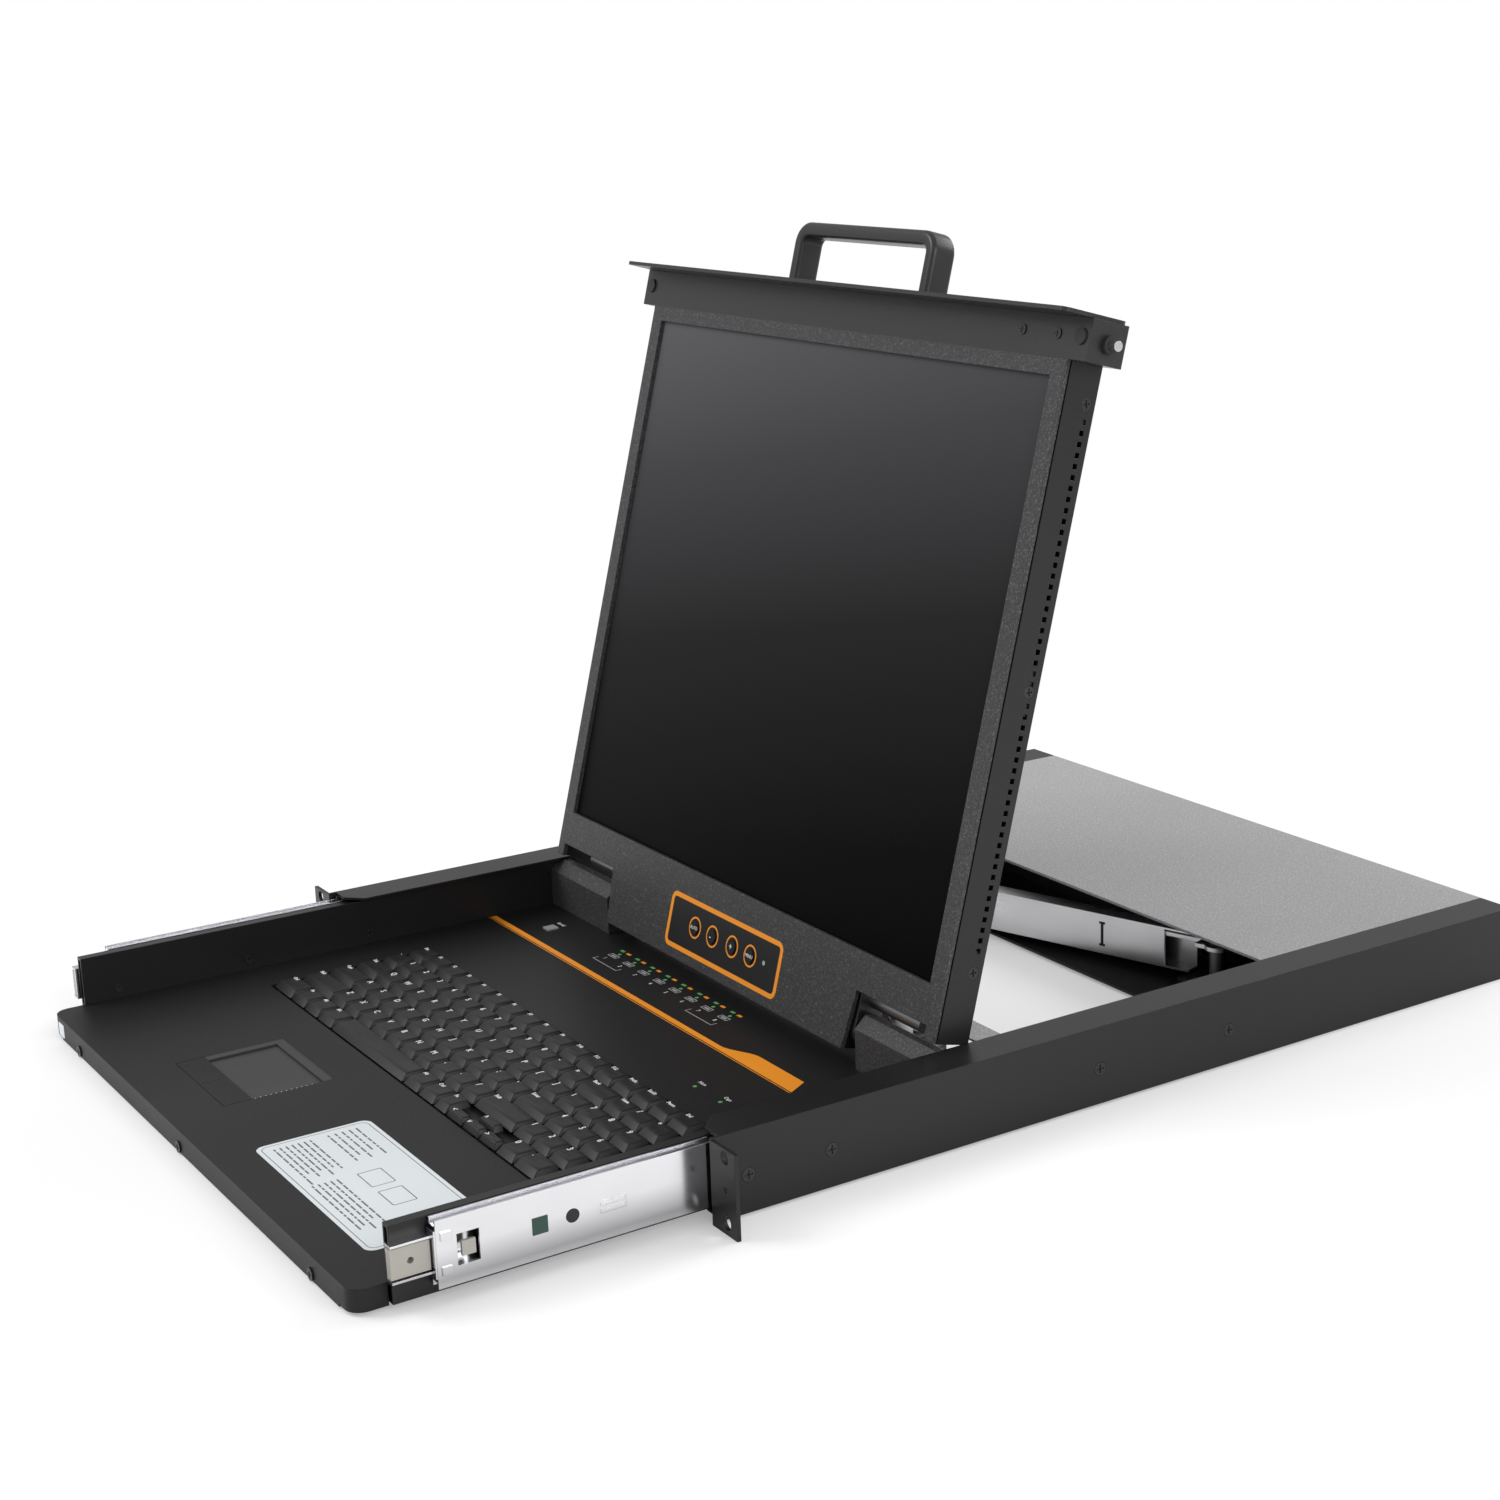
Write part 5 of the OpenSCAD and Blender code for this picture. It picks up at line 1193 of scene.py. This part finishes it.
# %% Slot in the arm cover
pivot = Vector(joints["rear_link_turn"]["pos_m"])
elbow = Vector(joints["elbow_turn"]["pos_m"])
along = elbow - pivot
along.z = 0
along.normalize()
out = Vector((-along.y, along.x, 0))
if out.y > 0:
    out = -out
arm_face = Matrix((
    (along.x, 0, out.x, pivot.x),
    (along.y, 0, out.y, pivot.y),
    (0, 1, 0, 0),
    (0, 0, 0, 1),
))
SLOT_AT, SLOT_Z = 78 * MM, -3 * MM
STEM_HALF, STEM_END = 0.9 * MM, 6 * MM
FOOT_HALF, FOOT_END = 2 * MM, 7.4 * MM
ARM_THICK = 1.5 * MM
SLOT_THICK = 0.1 * MM
slot_loops = [
    bar(SLOT_AT - STEM_HALF, SLOT_AT + STEM_HALF, SLOT_Z - STEM_END, SLOT_Z + STEM_END),
    bar(SLOT_AT - FOOT_HALF, SLOT_AT + FOOT_HALF, SLOT_Z + STEM_END, SLOT_Z + FOOT_END),
    bar(SLOT_AT - FOOT_HALF, SLOT_AT + FOOT_HALF, SLOT_Z - FOOT_END, SLOT_Z - STEM_END),
]
arm_front = arm_face @ Matrix.Translation((0, 0, -ARM_THICK))
# A thin black plate paints the shade inside the slot, which is not cut.
plate("arm_slot_shade", slot_loops, SLOT_THICK, arm_front, rubber, "rear_link")
print("arm length, mm:", round((elbow - pivot).length / MM, 1))

# %% [markdown]
# The back panel can't be seen from the camera, so its marks follow common practice. Each port gets
# a metal rim, two six-sided posts and a number or a letter, and the power switch gets its two
# usual words. All of them ride on the chassis.

# %% Back panel marks
back_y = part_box("rear_panel")[1].y
on_back = Matrix.Translation((0, back_y, 0)) @ Matrix.Rotation(math.radians(180), 4, "Z") @ stand_up
NARROWEST_PORT = 20 * MM
COMPUTER_PORTS = 8
RIM_WIDTH, RIM_OUTER, RIM_INNER = 1.2 * MM, 2 * MM, MM
POST_RADIUS, POST_SHARE = 1.3 * MM, 0.8
PORT_NAME_LEFT, PORT_NAME_UP, PORT_NAME_SIZE = 0.3 * MM, 0.6 * MM, 3.2 * MM
ports = [box for box in solids("rear_ports") if box[1].x - box[0].x > NARROWEST_PORT]
ports.sort(key=lambda box: (round(box[0].z, 3), -box[0].x))
port_face = Matrix.Translation((0, 0, max(box[1].y for box in ports) - back_y))
rims = []
posts = bmesh.new()
port_names = []
for i, box in enumerate(ports):
    middle = centre(box)
    half_wide = (box[1].x - box[0].x) / 2
    half_tall = (box[1].z - box[0].z) / 2
    x, z = -middle.x, middle.z
    opening = (x - half_wide, x + half_wide, z - half_tall, z + half_tall)
    rims += framed(opening, RIM_WIDTH, RIM_OUTER, RIM_INNER)
    reach = (box[1].y - back_y) * POST_SHARE
    for side in (-1, 1):
        post_x = middle.x + side * (half_wide + POST_RADIUS)
        spot = Matrix.Translation((post_x, back_y + reach / 2, middle.z))
        add_rod(posts, POST_RADIUS, reach, 6, spot @ stand_up)
    text = str(i + 1) if i < COMPUTER_PORTS else "ABC"[i - COMPUTER_PORTS]
    text_x, text_z = x - half_wide - PORT_NAME_LEFT, z + half_tall + PORT_NAME_UP
    port_names.append((text, text_x, text_z, PORT_NAME_SIZE))
plate("port_rims", rims, PRINT, on_back @ port_face, dull_metal, "chassis")
from_bmesh("port_jacks", posts, dull_metal, "chassis")
words("port_names", port_names, on_back, white_print, "chassis")
rocker = centre(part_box("power_rocker"))
SIGN_SIZE, SIGN_DOWN, OFF_LEFT, ON_RIGHT = 3 * MM, 1.2 * MM, 14 * MM, 8.5 * MM
switch_signs = [
    ("OFF", -rocker.x - OFF_LEFT, rocker.z - SIGN_DOWN, SIGN_SIZE),
    ("ON", -rocker.x + ON_RIGHT, rocker.z - SIGN_DOWN, SIGN_SIZE),
]
words("switch_signs", switch_signs, on_back, white_print, "chassis")
print("ports marked:", len(ports))

# %% [markdown]
# The rear foot of the arm shows as a small grey plate with four screws, standing beside the pivot.
# The plate is one block with rounded edges, and its heads come from the same tree as all the
# others.

# %% Foot of the arm
FOOT_WIDE, FOOT_TALL, FOOT_THICK = 20 * MM, 15 * MM, 1.2 * MM
FOOT_FROM_BRACKET = Vector((11, 25.5, 6.5)) * MM
FOOT_EDGE = 0.3 * MM
FOOT_HEAD = (1.9 * MM, 0.7 * MM, 0.5 * MM)
FIRST_SCREW, SCREW_PITCH = (4, 3.5), (11, 8)
foot_x, foot_y, foot_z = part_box("arm_bracket_rear")[0] + FOOT_FROM_BRACKET
foot_low = (foot_x - FOOT_WIDE, foot_y - FOOT_THICK, foot_z)
foot_high = (foot_x, foot_y, foot_z + FOOT_TALL)
foot_shape = bmesh.new()
add_block(foot_shape, foot_low, foot_high, FOOT_EDGE)
from_bmesh("arm_foot", foot_shape, bracket_steel, "chassis")
foot_points = []
for i in (0, 1):
    for j in (0, 1):
        x = foot_x - (FIRST_SCREW[0] + SCREW_PITCH[0] * i) * MM
        z = foot_z + (FIRST_SCREW[1] + SCREW_PITCH[1] * j) * MM
        foot_points.append((Vector((x, foot_low[1], z)), FORWARD))
screws("arm_foot_screws", foot_points, FOOT_HEAD, "chassis")

# %% [markdown]
# The floor and the background are stage, not part of the object. The floor is matt and pale. For
# the camera alone, most of its colour is plain white, so the page stays white and a soft shadow
# remains.


# %% Floor
FLOOR_SIDE = 12
FLOOR_GAP = 0.2 * MM
PAGE_STOPS = [(0.12, grey(0.3)), (0.4, grey(1)), (1.0, grey(1))]


def floor_finish():
    made = Finish("floor_white", Roughness=0.9)
    seen = made.node("ShaderNodeLightPath", output="Is Camera Ray")
    made.surface("Base Color", made.mix(made.noise(3, detail=2) * 0.05, grey(0.92), grey(0.88)))
    page = made.node("ShaderNodeEmission", {}, {"Color": grey(1.0), "Strength": 1.0})
    matt = Wire(made, made.shader.outputs["BSDF"])
    reach = made.node("ShaderNodeVectorMath", {"operation": "LENGTH"}, {0: made.place()}, output=1)
    far = made.node("ShaderNodeValToRGB", {"stops": PAGE_STOPS}, {"Fac": reach * 0.6 - 0.1})
    both = made.node("ShaderNodeMixShader", {}, {"Fac": seen * far, 1: matt, 2: page})
    made.put(made.tree.nodes["Material Output"].inputs["Surface"], both)
    return made.material


ground = cad_box[0].z - FLOOR_GAP
floor_mesh = bpy.data.meshes.new("floor")
corners = [(x, y, ground) for x, y in bar(-FLOOR_SIDE, FLOOR_SIDE, -FLOOR_SIDE, FLOOR_SIDE)]
floor_mesh.from_pydata(corners, [], [(0, 1, 2, 3)])
floor_mesh.materials.append(floor_finish())
floor = bpy.data.objects.new("floor", floor_mesh)
bpy.context.scene.collection.objects.link(floor)
floor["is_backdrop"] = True
print("floor at z, mm:", round(ground / MM, 2))

# %% [markdown]
# The studio is one pale world and three large lamps. The camera sees plain white where nothing
# stands, and the object is lit by a greyer world, so that its dark faces keep their shape. The
# strongest lamp is at the front left, a weaker one at the right, and one behind draws the edges.

# %% World and lamps
world = bpy.data.worlds.new("studio")
bpy.context.scene.world = world
world.use_nodes = True
sky = world.node_tree
plain = sky.nodes["Background"]
plain.inputs["Color"].default_value = grey(0.62)
white = sky.nodes.new("ShaderNodeBackground")
white.inputs["Color"].default_value = grey(1.0)
path_in = sky.nodes.new("ShaderNodeLightPath")
chosen = sky.nodes.new("ShaderNodeMixShader")
sky.links.new(path_in.outputs["Is Camera Ray"], chosen.inputs["Fac"])
sky.links.new(plain.outputs[0], chosen.inputs[1])
sky.links.new(white.outputs[0], chosen.inputs[2])
sky.links.new(chosen.outputs[0], sky.nodes["World Output"].inputs["Surface"])


def lamp(name, place, target, size, power):
    data = bpy.data.lights.new(name, "AREA")
    data.shape = "RECTANGLE"
    data.size, data.size_y = size
    data.energy = power
    made = bpy.data.objects.new(name, data)
    way = Vector(target) - Vector(place)
    aim = way.to_track_quat("-Z", "Y").to_matrix().to_4x4()
    made.matrix_world = Matrix.Translation(place) @ aim
    bpy.context.scene.collection.objects.link(made)


# Name, place, target and size in metres, and power in watts.
LAMPS = (
    ("key_lamp", (-1.2, -1.6, 1.9), (0, 0.1, 0.1), (1.4, 1.4), 38),
    ("side_lamp", (2.2, 0.3, 1.1), (0.1, 0.2, 0.1), (1.6, 1.0), 22),
    ("back_lamp", (0.2, 2.3, 1.6), (0, 0.3, 0.1), (2.0, 0.8), 26),
)
for settings in LAMPS:
    lamp(*settings)
print("lamps:", len(LAMPS))

# %% [markdown]
# The camera stands where the photo was taken from: to the right and in front, a little above, with
# the picture shifted sideways. Its direction is written as two angles and a small roll.

# %% Camera
AZIMUTH, ELEVATION, ROLL = math.radians(54.41), math.radians(15.1), math.radians(-0.75)
FOCAL_PIXELS, PICTURE, CENTRE_PIXEL = 2491.12, 1500, 950
CAMERA_AT = Vector((1125.09, -512.4, 479.0)) * MM
SENSOR = 36
ahead = Vector((
    -math.sin(AZIMUTH) * math.cos(ELEVATION),
    math.cos(AZIMUTH) * math.cos(ELEVATION),
    -math.sin(ELEVATION),
))
right = ahead.cross(Vector((0, 0, 1))).normalized()
above = right.cross(ahead)
across = math.cos(ROLL) * right + math.sin(ROLL) * above
upward = -math.sin(ROLL) * right + math.cos(ROLL) * above
camera_data = bpy.data.cameras.new("camera")
camera_data.sensor_width = SENSOR
camera_data.lens = FOCAL_PIXELS * SENSOR / PICTURE
camera_data.shift_x = (PICTURE / 2 - CENTRE_PIXEL) / PICTURE
camera = bpy.data.objects.new("camera", camera_data)
turn_matrix = Matrix((across, upward, -ahead)).transposed().to_4x4()
camera.matrix_world = Matrix.Translation(CAMERA_AT) @ turn_matrix
print("camera distance, m:", round(CAMERA_AT.length, 2))
bpy.context.scene.collection.objects.link(camera)
bpy.context.scene.camera = camera
bpy.context.scene.view_settings.view_transform = "Standard"

# %% [markdown]
# Last, both boxes are printed, so that the dressed model can be held against the CAD's size.

# %% Sizes and finish
boxes = {"cad": [list(corner) for corner in cad_box], "visual": [list(corner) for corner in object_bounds()]}
print("sizes:", boxes)
